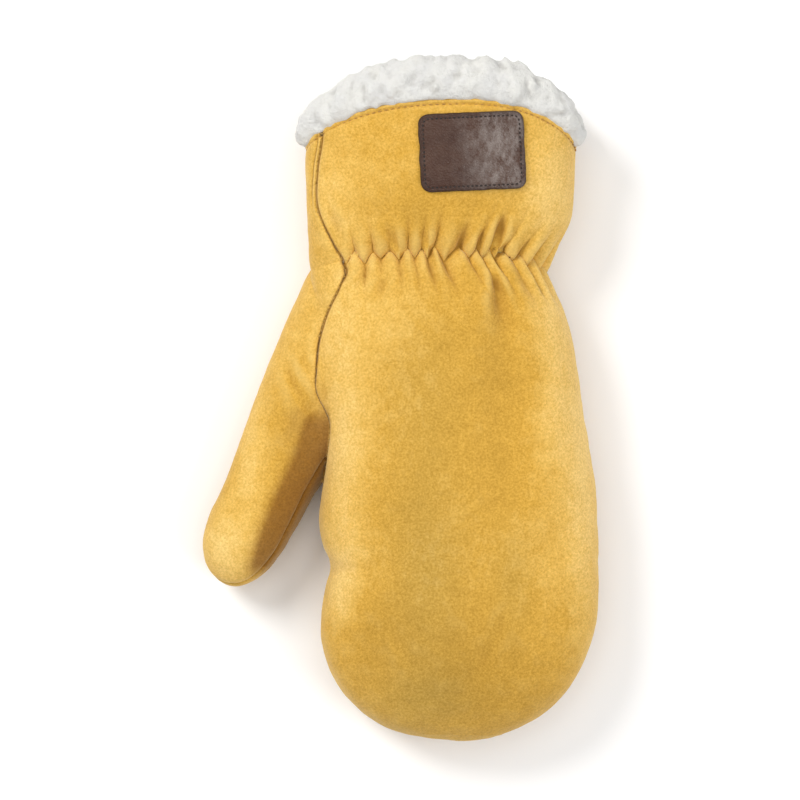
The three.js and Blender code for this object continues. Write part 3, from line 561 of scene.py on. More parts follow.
def hem_distance(points):
    """How far below the hem a point of the cuff lies, along the leather."""
    section = body_section(np.full(len(points), CUFF_LENGTH - 3))
    up, _, rise = around(section, points[:, 0], points[:, 2])
    share = np.clip(np.abs(up) / rise, 0, 1) ** (BODY_POWER / 2)
    bow = np.where(up >= 0, section["back_bow"], section["palm_bow"])
    return CUFF_LENGTH - (points[:, 1] - bow * share**1.5)


def crease_depth(points, creases):
    """Valleys with a soft ridge on either side, fading out at both ends."""
    depth = np.zeros(len(points))
    for x0, y0, x1, y1, width, deep in creases:
        start, line = np.array([x0, y0]), np.array([x1 - x0, y1 - y0])
        length = np.hypot(*line)
        offset = points[:, :2] - start
        t = offset @ line / length**2
        aside = np.abs(offset @ np.array([-line[1], line[0]]) / length)
        ends = step_up(t, -0.25, 0.3) * (1 - step_up(t, 0.45, 1.25))
        spread = width * (0.75 + 0.7 * np.clip(t, 0, 1))
        valley = np.exp(-((aside / spread) ** 2))
        ridge = 0.38 * np.exp(-(((aside - 2.1 * spread) / spread) ** 2))
        depth += deep * ends * (valley - ridge)
    return depth


def bumps(points, size, seed):
    return np.array([noise.noise(Vector(point) / size + Vector((seed, 0, 0))) for point in points])


label_half = np.array([LABEL_WIDTH / 2, LABEL_HEIGHT / 2])
label_middle = np.array([
    (CUFF_RIGHT - CUFF_LEFT) / 2 + 0.11 * CUFF_WIDTH,
    CUFF_LENGTH + HEM_BOW - LABEL_FROM_HEM - LABEL_HEIGHT / 2,
])


def under_label(points):
    apart = np.abs(points[:, :2] - label_middle) - label_half
    return (1 - step_up(apart.max(axis=1), -1.0, 4.0)) * (points[:, 2] > SEAM_HEIGHT)


def raise_relief(bm):
    """Creases, an uneven surface, and a sewn line below the hem."""
    points = coordinates(bm)
    above = step_up(points[:, 2], 22, 30)
    relief = -above * crease_depth(points, BACK_CREASES)
    relief -= (1 - above) * crease_depth(points, PALM_CREASES)
    relief += 0.75 * bumps(points, 24.0, 3.0) + 0.3 * bumps(points, 8.5, 40.0)
    relief += 0.1 * bumps(points, 3.0, 80.0)
    relief *= 1 - 0.95 * under_label(points)
    tuck = points - SEAM_TUCK
    relief -= 1.6 * np.exp(-(tuck * tuck).sum(axis=1) / 5.0**2)
    below = hem_distance(points)
    hem = step_up(points[:, 1], 20, 40)
    drawn_in = 0.6 * np.exp(-(((below - HEM_LINE) / 0.55) ** 2))
    relief += hem * (0.25 * np.exp(-(((below - 1.0) / 0.9) ** 2)) - drawn_in)
    relief += 0.5 * hem * np.exp(-below / 9.0) * bumps(points, 11.0, 120.0)
    points += relief[:, None] * normals(bm)
    move_above_floor(bm, points)


def off_back(points):
    return back_field(points) < 0.05


def off_thumb(points):
    return off_back(points) & (thumb_field(points) < 0.05)


def score_seams(bm):
    """Runs edges along every seam of the panels and beside it."""
    for level in SEAM_LEVELS:
        score(bm, back_field, level)
    for level in SEAM_LEVELS:
        score(bm, thumb_field, level, off_back)
    for level in WELT_LEVELS:
        score(bm, welt_field, level, off_thumb)
    bmesh.ops.dissolve_degenerate(bm, edges=bm.edges, dist=0.03)


def sink_seams(bm):
    """Sinks the leather along its seams, and gives each vertex's distance to the nearest."""
    points = coordinates(bm)
    back, thumb, welt = back_field(points), thumb_field(points), welt_field(points)
    gap = np.abs(back)
    gap = np.where(back < 0.05, np.minimum(gap, np.abs(thumb)), gap)
    gap = np.where((back < 0.05) & (thumb < 0.05), np.minimum(gap, np.abs(welt) + 0.25), gap)
    x, y, z = points.T
    doubled = (y > 16) & (x < 0) & (z > CUFF_SEAM)
    fading = 0.3 + 1.2 * (1 - step_up(y, 16, 34))
    gap = np.where(doubled, np.minimum(gap, np.abs(back + SECOND_LINE) + fading), gap)
    gap += 0.8 * step_up(-y, 40, 52) * step_up(-x, 30, 40) * step_up(z, 29, 35)
    gap += 0.6 * (1 - step_up(hem_distance(points), 0.5, 3.5)) * step_up(y, 20, 40)
    swell = 0.2 * np.exp(-(((gap - 3.2) / 1.6) ** 2))
    sunk = SEAM_DEPTH * np.exp(-((gap / SEAM_WIDTH) ** 2)) - swell
    points -= sunk[:, None] * normals(bm)
    move_above_floor(bm, points)
    return gap


def hollows(bm, rounds):
    """How far each point lies below its surroundings, in millimetres."""
    bm.verts.index_update()
    points = coordinates(bm)
    ends = np.array([(edge.verts[0].index, edge.verts[1].index) for edge in bm.edges])
    count = np.bincount(ends.ravel(), minlength=len(points))[:, None]
    even = points.copy()
    for _ in range(rounds):
        total = np.stack([
            np.bincount(ends[:, 0], even[ends[:, 1], axis], len(points))
            + np.bincount(ends[:, 1], even[ends[:, 0], axis], len(points))
            for axis in range(3)
        ], axis=1)
        even = 0.5 * even + 0.5 * total / np.maximum(count, 1)
    return ((even - points) * normals(bm)).sum(axis=1)


# Where the suede is deeper, above 0, or paler: x, y, half width, half length and how much, seen
# from above. Partly the suede's own tone and partly painted light: the pale patches along the rims
# are painted highlight, and the deep ones at the fingertips and in the palm's valley below the
# thumb are painted shade
TONES_AND_LIGHT_ABOVE = [
    (14, -50, 20, 60, 0.5), (8, -172, 42, 26, 0.75), (-38, -150, 16, 22, 0.5),
    (-30, 24, 14, 14, 0.25), (-16, 22, 10, 14, 0.3), (-32, -20, 24, 22, -0.2),
    (-50, -70, 11, 60, -0.75), (53, -90, 8, 70, -0.8), (40, -12, 10, 18, -0.6),
    (40, 36, 13, 26, -0.8), (-54, 30, 9, 24, -0.3), (-90, -70, 7, 50, -0.6),
    (-72, -72, 11, 34, 0.4), (-102, -118, 9, 16, -0.9), (-16, -90, 24, 50, 0.3),
    (40, -50, 9, 34, -0.7), (-50, -137, 7, 18, -0.9),
]

TONES_AND_LIGHT_BELOW = [
    (20, -18, 26, 16, 0.3), (-48, 34, 9, 16, 0.35), (-4, 34, 26, 20, 0.2), (30, 58, 16, 7, 0.35),
    (46, 25, 7, 22, -0.8), (-58, 25, 6, 20, -0.4), (-30, -60, 16, 30, 0.5),
    (10, -150, 40, 30, 0.3), (-92, -95, 12, 26, 0.5), (-70, -50, 16, 22, -0.2),
]

# Where the suede of the back is duller and more olive, in the same form; at the fingertips this is
# painted shade where the back curves away from the light
OLIVE = [
    (-14, -128, 17, 46, 0.8), (-16, -182, 24, 14, 0.7), (22, -130, 9, 22, 0.55),
    (-16, -50, 18, 34, 0.45),
]

# Edge of the painted shade on the brown inner side of the thumb, seen from above
BROWN_EDGE = {
    "y": [-150.0, -127.5, -116.0, -98.0, -77.5, -62.0, -54.0],
    "x": [-92.0, -89.8, -87.1, -80.3, -70.7, -66.5, -56.0],
}


def tones(points, patches):
    """Sum of soft round patches, seen from above."""
    total = np.zeros(len(points))
    for x, y, wide, long, much in patches:
        aside, ahead = (points[:, 0] - x) / wide, (points[:, 1] - y) / long
        total += much * np.exp(-(aside**2) - ahead**2)
    return total


def thumb_shade(points):
    """Painted shade on the brown inner side of the thumb, towards the hand."""
    x, y, z = points.T
    past = x - np.interp(y, BROWN_EDGE["y"], BROWN_EDGE["x"])
    inside = 0.55 * step_up(past, -5.0, 2.0) + 0.45 * step_up(past, -1.0, 3.0)
    off_hand = step_up(-nearer_hand(points), -1.0, 1.5)
    near_root = step_up(-y, 40, 55) * (1 - step_up(-y, 66, 84))
    # Streaks of painted shade in the folds by the thumb's root
    streaks = 0.35 * step_up(past, -11.0, -2.0) * near_root
    inside = np.maximum(inside * step_up(-y, 52, 66), streaks)
    return inside * off_hand * (1 - step_up(-y, 124, 134)) * step_up(z, 7, 17)


def crotch_shade(points):
    """A darker patch on the palm where the thumb leaves it."""
    off = (points - [-56.0, -63.0, 12.0]) / [7.0, 6.0, 9.0]
    return np.exp(-(off * off).sum(axis=1))


def panel(bm, keep, name, node, finish):
    """One leather panel cut from the whole, clear of its neighbours and with its wall."""
    part = bm.copy()
    part.faces.ensure_lookup_table()
    drop = [face for face, kept in zip(part.faces, keep) if not kept]
    bmesh.ops.delete(part, geom=drop, context="FACES")
    border = [vert for vert in part.verts if vert.is_boundary]
    below = hem_distance(np.array([vert.co[:] for vert in border]))
    border = [vert for vert, reach in zip(border, below) if reach > 0.4]
    shifts = []
    for vert in border:
        inward = sum((face.calc_center_median() for face in vert.link_faces), Vector())
        shifts.append((inward / len(vert.link_faces) - vert.co).normalized() * SEAM_GAP)
    for vert, shift in zip(border, shifts):
        vert.co += shift
    wall = placed(part, name, finish, node).modifiers.new("wall", "SOLIDIFY")
    wall.thickness = LEATHER * 0.001
    wall.offset = -1


class Value:
    """A shader socket that takes part in sums."""

    def __init__(self, finish, socket):
        self.finish, self.socket = finish, socket

    def sum_with(self, operation, first, second):
        return self.finish.node("Math", {"operation": operation}, {0: first, 1: second})

    def __add__(self, other):
        return self.sum_with("ADD", self, other)

    def __sub__(self, other):
        return self.sum_with("SUBTRACT", self, other)

    def __rsub__(self, other):
        return self.sum_with("SUBTRACT", other, self)

    def __mul__(self, other):
        return self.sum_with("MULTIPLY", self, other)

    __radd__ = __add__
    __rmul__ = __mul__


class Finish:
    """A material whose nodes are made by one method."""

    def __init__(self, name, **constants):
        self.material = bpy.data.materials.new(name)
        self.material.use_nodes = True
        self.nodes, self.links = self.material.node_tree.nodes, self.material.node_tree.links
        self.surface = self.nodes["Principled BSDF"]
        for socket, constant in constants.items():
            self.surface.inputs[socket.replace("_", " ")].default_value = constant

    def feed(self, socket, value):
        if isinstance(value, Value):
            self.links.new(value.socket, socket)
        else:
            socket.default_value = value

    def node(self, kind, settings=None, inputs=None, output=0):
        made = self.nodes.new("ShaderNode" + kind)
        for name, setting in (settings or {}).items():
            if name == "stops":
                ramp = made.color_ramp
                while len(ramp.elements) < len(setting):
                    ramp.elements.new(0.5)
                for element, (place, colour) in zip(ramp.elements, setting):
                    element.position, element.color = place, (*colour, 1)
            else:
                setattr(made, name, setting)
        for socket, value in (inputs or {}).items():
            self.feed(made.inputs[socket], value)
        return Value(self, made.outputs[output])

    def speckle(self, scale, detail=2.0, roughness=0.5, stretch=None):
        place = self.node("TexCoord", output="Object")
        if stretch:
            place = self.node("Mapping", {}, {"Vector": place, "Scale": stretch})
        found = {"Vector": place, "Scale": scale, "Detail": detail, "Roughness": roughness}
        return self.node("TexNoise", {}, found)

    def attribute(self, name):
        return self.node("Attribute", {"attribute_name": name}, output="Fac")

    def clamp(self, value, low=0.0, high=1.0, to_low=0.0, to_high=1.0):
        inputs = {0: value, 1: low, 2: high, 3: to_low, 4: to_high}
        return self.node("MapRange", {}, inputs)

    def blend(self, factor, a, b, how="MIX"):
        settings = {"data_type": "RGBA", "blend_type": how}
        colours = [colour if isinstance(colour, Value) else (*colour, 1) for colour in (a, b)]
        return self.node("Mix", settings, {0: factor, 6: colours[0], 7: colours[1]}, output=2)

    def finish(self, colour, roughness=None, height=None, distance=0.0002, strength=1.0):
        self.feed(self.surface.inputs["Base Color"], colour)
        if roughness is not None:
            self.feed(self.surface.inputs["Roughness"], roughness)
        if height is not None:
            bump = {"Height": height, "Distance": distance, "Strength": strength}
            self.feed(self.surface.inputs["Normal"], self.node("Bump", {}, bump))
        return self.material


def suede(name, tint=(1.0, 1.0, 1.0)):
    """Napped golden suede: pale and deep patches, partly painted light, a fine speckle, painted
    shade in the hollows, lighter ridges.
    """
    look = Finish(
        name, Sheen_Weight=0.45, Sheen_Roughness=0.5, Sheen_Tint=(1.0, 0.84, 0.52, 1),
        Specular_IOR_Level=0.12,
    )
    # Painted light in these patches: painted highlight on the pale rims, painted shade at the deep
    # fingertips
    tone = look.attribute("tone") + (look.speckle(26.0, 3.0) - 0.5) * 0.9
    strokes = look.speckle(1.0, 3.0, 0.6, stretch=(420.0, 150.0, 420.0))
    blotches = look.speckle(150.0, 4.0, 0.62)
    grain = look.speckle(1000.0, 4.0, 0.75)
    tone = tone + (blotches - 0.5) * 0.9 + (strokes - 0.5) * 0.5
    base = look.node("ValToRGB", {"stops": [
        (0.0, (0.80, 0.545, 0.175)), (0.35, (0.68, 0.42, 0.09)), (0.6, (0.58, 0.33, 0.048)),
        (1.0, (0.455, 0.255, 0.034)),
    ]}, {0: look.clamp(tone, -1.0, 1.0)})
    fleck = look.clamp(grain, 0.34, 0.66)
    speckle = look.blend(fleck, (0.77, 0.73, 0.57), (1.16, 1.17, 1.3))
    base = look.blend(1.0, base, speckle, "MULTIPLY")
    # Duller, more olive suede, painted shade at the fingertips
    base = look.blend(look.attribute("olive"), base, (0.80, 0.87, 1.12), "MULTIPLY")
    # Painted shade darkens the hollows; the ridges are made lighter
    hollow = look.attribute("hollow")
    base = look.blend(look.clamp(hollow, 0.05, 0.9, 0.0, 0.75), base, (0.29, 0.135, 0.016))
    base = look.blend(look.clamp(hollow, -0.05, -0.5, 0.0, 0.35), base, (0.74, 0.53, 0.18))
    # Painted shade on the thumb's inner side and where the thumb leaves the palm
    brown = look.blend(fleck, (0.13, 0.043, 0.005), (0.215, 0.078, 0.009))
    base = look.blend(look.attribute("shade"), base, brown)
    # Painted shade along the seam grooves
    seam = look.clamp(look.attribute("gap"), 0.1, 0.7, 0.8, 0.0)
    base = look.blend(seam, base, (0.19, 0.075, 0.004))
    base = look.blend(1.0, base, tint, "MULTIPLY")
    height = grain * 0.7 + blotches * 0.9 + strokes * 0.5
    return look.finish(base, look.clamp(blotches, 0.3, 0.7, 0.86, 0.98), height, 0.0003, 0.6)


def pile(name):
    """White pile: bright clumps, painted shade in the hollows, painted highlight on the tops, fine
    curls.
    """
    look = Finish(
        name, Sheen_Weight=0.15, Sheen_Roughness=0.6, Sheen_Tint=(1.0, 0.99, 0.96, 1),
        Specular_IOR_Level=0.1,
    )
    clumps, curls = look.speckle(120.0, 3.0), look.speckle(620.0, 3.0, 0.65)
    fibres = look.speckle(2600.0, 2.0, 0.7)
    base = look.blend(look.clamp(clumps, 0.35, 0.7), (0.75, 0.742, 0.705), (0.69, 0.685, 0.67))
    base = look.blend(look.clamp(curls, 0.5, 0.75, 0.0, 0.26), base, (0.54, 0.525, 0.49))
    hollow = look.attribute("hollow")
    # Painted shade in the hollows between the tufts, painted highlight on their tops
    base = look.blend(look.clamp(hollow, 0.0, 0.6, 0.0, 0.8), base, (0.36, 0.345, 0.32))
    base = look.blend(look.clamp(hollow, -0.1, -0.9, 0.0, 0.5), base, (0.78, 0.78, 0.755))
    return look.finish(base, 1.0, curls + fibres * 0.5, 0.0009)


def label_leather(name):
    """Dark pebbled leather, darker at its sewn edge and rubbed to a gloss on one side, with painted
    sheen lightening that side.
    """
    look = Finish(name, Specular_IOR_Level=0.42)
    cells = look.node("TexVoronoi", {"feature": "DISTANCE_TO_EDGE"}, {
        "Vector": look.node("TexCoord", output="Object"), "Scale": 900.0,
    })
    patches, grain = look.speckle(60.0, 3.0), look.speckle(420.0, 3.0, 0.6)
    base = look.blend(look.clamp(patches, 0.3, 0.7), (0.045, 0.015, 0.007), (0.080, 0.034, 0.018))
    base = look.blend(look.clamp(grain, 0.45, 0.75, 0.0, 0.5), base, (0.10, 0.06, 0.044))
    wrinkles = look.speckle(1.0, 5.0, 0.65, stretch=(230.0, 110.0, 200.0))
    # Painted sheen lightens the glossy side
    sheen = look.attribute("rubbed") * look.clamp(wrinkles, 0.38, 0.62)
    base = look.blend(sheen * 0.85, base, (0.24, 0.20, 0.18))
    edge = look.clamp(look.attribute("edge"), 0.0, 1.0, 0.75, 0.0)
    base = look.blend(edge, base, (0.028, 0.011, 0.006))
    pebbles = look.clamp(cells, 0.0, 0.16)
    rough = look.clamp(grain + look.attribute("rubbed") * -0.35, 0.1, 0.7, 0.34, 0.66)
    return look.finish(base, rough, pebbles * 0.15 + grain * 0.2 + wrinkles, 0.0012, 0.8)


def thread(name, colour, dark):
    """Twisted thread of two tones."""
    look = Finish(name, Specular_IOR_Level=0.3, Sheen_Weight=0.2)
    twist = look.speckle(1.0, 2.0, 0.5, stretch=(2600.0, 900.0, 2600.0))
    base = look.blend(look.clamp(twist, 0.35, 0.65), colour, dark)
    return look.finish(base, 0.7, twist, 0.0001, 0.6)


def back_points(x, y):
    """Points of the cuff's back under places seen from above."""
    v, up = y - HEM_BOW, np.ones_like(y)
    for _ in range(12):
        section = body_section(np.maximum(v, 0))
        across = np.minimum(np.abs(x) / np.where(x >= 0, section["right"], section["left"]), 0.999)
        up = np.sqrt(1 - across**BODY_POWER)
        v = y - section["back_bow"] * up**1.5
    section = body_section(np.maximum(v, 0))
    return np.stack([x, y, section["seam"] + section["top"] * up ** (2 / BODY_POWER)], axis=-1)


def on_cuff(flat):
    """Carries points of a flat label, x, y and height, onto the back of the cuff."""
    turn = np.array([
        [math.cos(LABEL_TURN), math.sin(LABEL_TURN)], [-math.sin(LABEL_TURN), math.cos(LABEL_TURN)],
    ])
    x, y = (flat[:, :2] @ turn + label_middle).T
    base = back_points(x, y)
    aside = back_points(x + 0.5, y) - back_points(x - 0.5, y)
    ahead = back_points(x, y + 0.5) - back_points(x, y - 0.5)
    outward = np.cross(aside, ahead)
    outward /= np.linalg.norm(outward, axis=1)[:, None]
    return base + outward * (LABEL_GAP + flat[:, 2:3])


def rounded(places, half, corner):
    """Moves points of a rectangle into one with round corners."""
    core = np.clip(places, corner - half, half - corner)
    past = places - core
    reach, length = np.abs(past).max(axis=1), np.linalg.norm(past, axis=1)
    scale = np.where(length > 0, reach / np.maximum(length, 1e-9), 0)
    return core + past * scale[:, None]


def edge_distance(flat):
    past = np.abs(flat[:, :2]) - (label_half - LABEL_CORNER)
    outside = np.linalg.norm(np.maximum(past, 0), axis=1)
    return LABEL_CORNER - outside - np.minimum(past.max(axis=1), 0)


def label():
    """Thick leather label with rolled edges, a sewn groove and a bare face."""
    bm = bmesh.new()
    bmesh.ops.create_grid(bm, x_segments=84, y_segments=64, size=1.0)
    places = coordinates(bm)[:, :2]
    places = np.sin(places * math.pi / 2) * 0.35 + places * 0.65
    flat = rounded(places * label_half, label_half, LABEL_CORNER)
    move(bm, np.column_stack([flat, np.zeros(len(flat))]))
    bmesh.ops.recalc_face_normals(bm, faces=bm.faces)
    top = bmesh.ops.extrude_face_region(bm, geom=bm.faces[:])["geom"]
    top = {item for item in top if isinstance(item, bmesh.types.BMVert)}
    bmesh.ops.recalc_face_normals(bm, faces=bm.faces)
    flat = coordinates(bm)
    is_top = np.array([vert in top for vert in bm.verts])
    inward = edge_distance(flat)
    flat[:, :2] *= 1 + 0.022 * bumps(flat / np.abs(flat).max(), 0.25, 31.0)[:, None]
    roll = 0.75 * (1 - np.sqrt(1 - (1 - np.clip(inward / 1.1, 0, 1)) ** 2))
    groove = 0.3 * np.exp(-(((inward - LABEL_LINE) / 0.4) ** 2))
    dome = 0.12 * step_up(inward, 2.6, 5.0)
    face = LABEL_THICK - 0.15 - roll - groove + dome + 0.1 * bumps(flat, 9.0, 7.0)
    flat[:, 2] = is_top * face
    move(bm, on_cuff(flat))
    # The glossy side, also lightened with painted sheen
    rubbed = step_up(flat[:, 0], -12.0, 14.0)
    keep_values(bm, edge=np.minimum(inward / 2.6, 1.0), rubbed=rubbed)
    return bm


def add_shapes(bm, places, shape):
    """Adds many small shapes to a mesh, a few dozen at a time."""
    for first in range(0, len(places), 60):
        batch = bmesh.new()
        for place in places[first : first + 60]:
            shape(batch, place)
        mesh = bpy.data.meshes.new("batch")
        batch.to_mesh(mesh)
        batch.free()
        bm.from_mesh(mesh)
        bpy.data.meshes.remove(mesh)


def bead(bm, place):
    bmesh.ops.create_uvsphere(bm, u_segments=8, v_segments=6, radius=1.0, matrix=place)


def sewn(stitches):
    bm = bmesh.new()
    add_shapes(bm, stitches, bead)
    return bm


def run_along(line):
    """Distance along a line of points at each of them."""
    steps = np.linalg.norm(np.diff(line, axis=0), axis=1)
    return np.concatenate([[0], np.cumsum(steps)])


def stitch_place(start, end, up, width, height):
    """Where a bead becomes one stitch of thread from start to end, lying on what it holds."""
    line = end - start
    up = (up - up.dot(line) / line.length_squared * line).normalized()
    side = up.cross(line.normalized())
    turn = Matrix((line.normalized(), side, up)).transposed().to_4x4()
    size = Matrix.Diagonal((line.length / 2, width / 2, height, 1))
    return Matrix.Translation((start + end) / 2) @ turn @ size


def label_stitches():
    """Dark thread in the groove round the label."""
    half, corner = label_half - LABEL_LINE, LABEL_CORNER - LABEL_LINE
    outline = []
    for sx, sy, turn in ((1, 1, 0), (-1, 1, 90), (-1, -1, 180), (1, -1, 270)):
        for step in range(0, 91, 15):
            angle = math.radians(turn + step)
            centre = np.array([sx, sy]) * (half - corner)
            outline.append(centre + corner * np.array([math.cos(angle), math.sin(angle)]))
    outline = np.array(outline + [outline[0]])
    run = run_along(outline)
    count, height = round(run[-1] / 1.85), LABEL_THICK - 0.42
    stitches = []
    for start in np.arange(count) * run[-1] / count:
        ends = np.array([start, start + 1.25])
        flat = np.column_stack([np.interp(ends % run[-1], run, outline[:, k]) for k in range(2)])
        a, b = on_cuff(np.column_stack([flat, [height, height]]))
        above = on_cuff(np.column_stack([flat, [height + 1, height + 1]]))[0]
        stitches.append(stitch_place(Vector(a), Vector(b), Vector(above - a), 0.85, 0.42))
    return sewn(stitches)


def hem_stitches():
    """Thread of the leather's own colour in the sewn line below the hem."""
    v = np.full((1, 1), CUFF_LENGTH - HEM_LINE)
    section = body_section(v, 0.35)
    angles = even_angles(section, 360)[0]
    ring = section_point(section, v, angles[None, :])[0]
    ring[:, 2] = np.maximum(ring[:, 2], 0.4)
    run = run_along(ring)
    count = round(run[-1] / 2.7)
    stitches = []
    for start in np.arange(count) * run[-1] / count:
        ends = [start, min(start + 1.7, run[-1])]
        a, b = (Vector([np.interp(end, run, ring[:, k]) for k in range(3)]) for end in ends)
        up = Vector((a.x + CUFF_SHIFT, 0, a.z - CUFF_SEAM)).normalized()
        stitches.append(stitch_place(a, b, up, 0.55, 0.32))
    return sewn(stitches)


# Section of the pile's roll: past the hem, as a share of the trim's height or below 0 of its
# tuck, and out from the leather's face
TRIM_PROFILE = {
    "past": [-1, -0.5, -0.05, 0.05, 0.28, 0.55, 0.78, 0.9, 0.8, 0.4, 0.0, -0.5, -1, -1.04],
    "out": [-4.2, -4.2, -3.0, 0.5, 2.1, 2.1, 0.4, -3.0, -6.0, -7.6, -7.4, -7.4, -7.4, -5.8],
}
TRIM_ROWS = len(TRIM_PROFILE["past"])

# Tufts of the pile: how many, from which row of the profile to which, radius, length, and how far
# they lie along the roll
CLUMPS = [(460, 3.3, 9.9, 2.2, 4.6, 0.9), (300, 2.7, 3.2, 1.7, 2.2, 0.4)]
CURLS = [(800, 3.0, 11.5, 1.4, 1.9, 0.4)]


def trim_form():
    """Closed roll of pile on the hem with the leg that lines the cuff, as an array of points."""
    steps = np.linspace(0, TRIM_ROWS, 4 * TRIM_ROWS + 1)
    past, base = (
        np.interp(steps, range(TRIM_ROWS + 1), column + column[:1])[:, None]
        for column in TRIM_PROFILE.values()
    )
    section = body_section(np.array([[CUFF_LENGTH]]))
    angles = even_angles(section, 240)
    height = mix(TRIM_SIDE_HEIGHT, TRIM_HEIGHT, np.abs(np.sin(angles)) ** 0.8)
    away = np.where(past > 0, past * height, past * TRIM_TUCK)
    grown = {key: value + 0 * base for key, value in section.items()}
    for key in ("left", "right", "top", "bottom"):
        grown[key] = grown[key] + base
    return section_point(grown, CUFF_LENGTH + away, angles)


def ball(rounds):
    """A shape for add_shapes: an icosphere of so many subdivisions."""

    def shape(bm, place):
        bmesh.ops.create_icosphere(bm, subdivisions=rounds, radius=1.0, matrix=place)

    return shape


def pile_trim():
    """Clumped white pile: tufts sown over the roll, melted into one woolly surface."""
    form = trim_form()
    rows, columns = form.shape[0] - 1, form.shape[1] - 1
    bm = shaped_grid(form)
    bmesh.ops.remove_doubles(bm, verts=bm.verts, dist=0.01)
    bmesh.ops.recalc_face_normals(bm, faces=bm.faces)
    sown = np.random.default_rng(11)
    middle = form[:-1].mean(axis=0)

    def tuft(low, high, radius, length, lying):
        k = sown.uniform(low / TRIM_ROWS, high / TRIM_ROWS) * rows
        i = sown.uniform(0, columns)
        k0, i0 = int(k) % rows, int(i) % columns
        corner, next_round, next_over = form[k0, i0], form[k0, i0 + 1], form[k0 + 1, i0]
        near = mix(corner, next_round, i % 1)
        point = mix(near, mix(next_over, form[k0 + 1, i0 + 1], i % 1), k % 1)
        over = next_over - corner
        outward = np.cross(next_round - corner, over)
        outward = outward / max(np.linalg.norm(outward), 1e-9)
        if outward @ (point - middle[i0]) < 0:
            outward = -outward
        lean = mix(outward, over / max(np.linalg.norm(over), 1e-9), lying)
        lean = lean + sown.normal(0, 0.25, 3)
        radius, length = radius * sown.uniform(0.75, 1.25), length * sown.uniform(0.75, 1.25)
        turn = Vector(lean).to_track_quat("Z", "Y").to_matrix().to_4x4()
        size = Matrix.Diagonal((radius, radius * sown.uniform(0.8, 1.2), length, 1))
        return Matrix.Translation(Vector(point)) @ turn @ size

    for kinds, rounds in ((CLUMPS, 2), (CURLS, 1)):
        tufts = [tuft(*kind) for count, *kind in kinds for _ in range(count)]
        add_shapes(bm, tufts, ball(rounds))
    for vert in bm.verts:
        vert.co.z = max(vert.co.z, 0.05)
    to_metres(bm)
    rough = finish_mesh(bm, "rough_trim")
    melt = rough.modifiers.new("melt", "REMESH")
    melt.mode = "VOXEL"
    melt.voxel_size = 0.00092
    bm = applied(rough)
    for _ in range(7):
        smooth(bm, bm.verts, 0.5)
    points = coordinates(bm) * 1000
    fuzz = bumps(points, 9.0, 20.0) + 0.4 * bumps(points, 3.4, 5.0)
    fuzz += 0.2 * bumps(points, 1.3, 60.0)
    points += fuzz[:, None] * normals(bm)
    move_above_floor(bm, points)
    smooth(bm, bm.verts, 0.25)
    keep_values(bm, hollow=hollows(bm, 10))
    for vert in bm.verts:
        vert.co = vert.co * 0.001
    return bm


leather = joined_leather()
raise_relief(leather)
score_seams(leather)
seam_gap = sink_seams(leather)
places = coordinates(leather)
upper = step_up(places[:, 2], 18, 30)
keep_values(
    leather,
    gap=seam_gap,
    hollow=hollows(leather, 14),
    tone=mix(tones(places, TONES_AND_LIGHT_BELOW), tones(places, TONES_AND_LIGHT_ABOVE), upper),
    shade=np.maximum(0.8 * thumb_shade(places), 0.5 * crotch_shade(places)),
    olive=np.clip(tones(places, OLIVE), 0, 1) * upper,
)
leather.faces.ensure_lookup_table()
middles = np.array([face.calc_center_median()[:] for face in leather.faces])
on_back = back_field(middles) > 0
on_thumb = ~on_back & (thumb_field(middles) > 0)
on_welt = ~on_back & ~on_thumb & (welt_field(middles) > 0)
on_palm = ~on_back & ~on_thumb & ~on_welt

gold_suede = suede("gold_suede")
worn_suede = suede("worn_suede", (0.86, 0.82, 0.78))
panel(leather, on_back, "back_leather", "back_panel", gold_suede)
panel(leather, on_thumb, "thumb_leather", "thumb_panel", gold_suede)
panel(leather, on_palm, "palm_leather", "palm_panel", gold_suede)
panel(leather, on_welt, "seam_strip", "seam_welt", worn_suede)
leather.free()

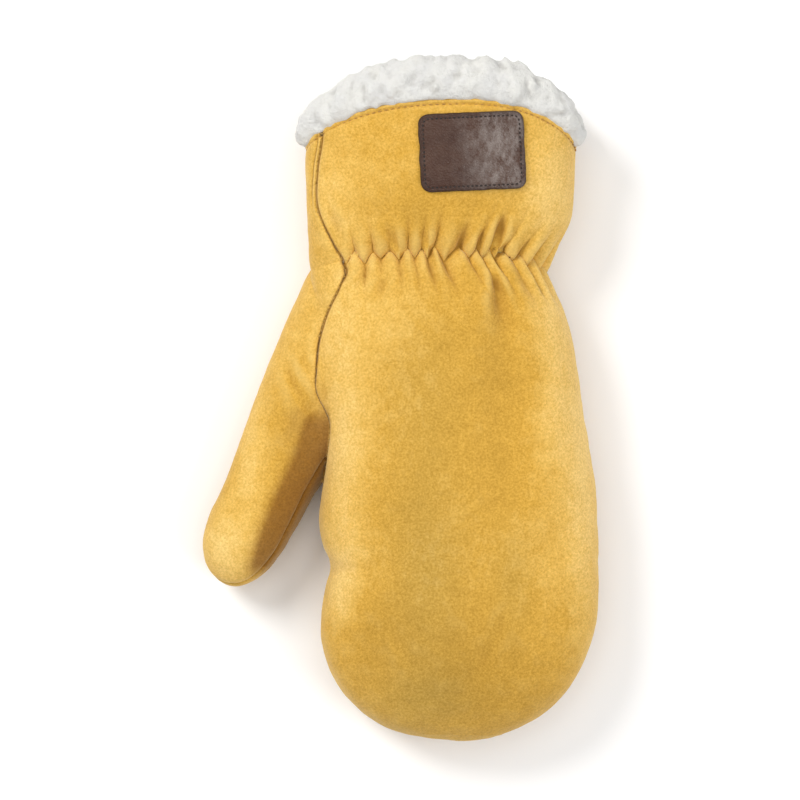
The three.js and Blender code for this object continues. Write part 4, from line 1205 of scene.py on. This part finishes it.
dark_thread = thread("dark_thread", (0.012, 0.007, 0.005), (0.035, 0.02, 0.014))
gold_thread = thread("gold_thread", (0.5, 0.27, 0.05), (0.3, 0.15, 0.03))
placed(label(), "bare_label", label_leather("brown_leather"), "label_patch")
placed(label_stitches(), "label_stitches", dark_thread)
placed(hem_stitches(), "hem_stitches", gold_thread)

trim = finish_mesh(pile_trim(), "pile_roll")
trim.data.materials.append(pile("white_pile"))
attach(trim, "root")
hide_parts("pile_trim")


MITT_MIDDLE = Vector((-0.025, 0.035, 0.02))
CAMERA_PLACE, CAMERA_LENS = (-0.0255, 0.035, 2.2), 230.0
FLOOR_REACH = 6.0


def floor():
    bm = bmesh.new()
    bmesh.ops.create_grid(bm, x_segments=1, y_segments=1, size=FLOOR_REACH)
    ground = finish_mesh(bm, "floor")
    look = Finish("pale_floor", Roughness=0.9, Specular_IOR_Level=0.1)
    paper = look.speckle(3.0, 2.0)
    pale = look.blend(paper, (0.95, 0.95, 0.95), (0.93, 0.93, 0.93))
    ground.data.materials.append(look.finish(pale))


def soft_light(name, place, size, power, colour=(1.0, 1.0, 1.0)):
    lamp = bpy.data.lights.new(name, "AREA")
    lamp.shape = "DISK"
    lamp.size, lamp.energy, lamp.color = size, power, colour
    holder = bpy.data.objects.new(name, lamp)
    holder.location = place
    aim = MITT_MIDDLE - Vector(place)
    holder.rotation_euler = aim.to_track_quat("-Z", "Y").to_euler()
    bpy.context.scene.collection.objects.link(holder)


floor()
soft_light("key", (-0.85, 0.75, 1.15), 0.7, 16.5, (1.0, 0.99, 0.97))
soft_light("fill", (1.0, -0.35, 1.15), 1.0, 9.5)
soft_light("top", (0.0, 0.1, 2.0), 1.6, 11.0)
world = bpy.data.worlds.new("studio")
world.use_nodes = True
background = world.node_tree.nodes["Background"].inputs
background["Color"].default_value = (1, 1, 1, 1)
background["Strength"].default_value = 0.40
bpy.context.scene.world = world
bpy.context.scene.view_settings.view_transform = "Standard"

camera = bpy.data.objects.new("camera", bpy.data.cameras.new("camera"))
camera.data.lens = CAMERA_LENS
camera.location = CAMERA_PLACE
bpy.context.scene.collection.objects.link(camera)
bpy.context.scene.camera = camera
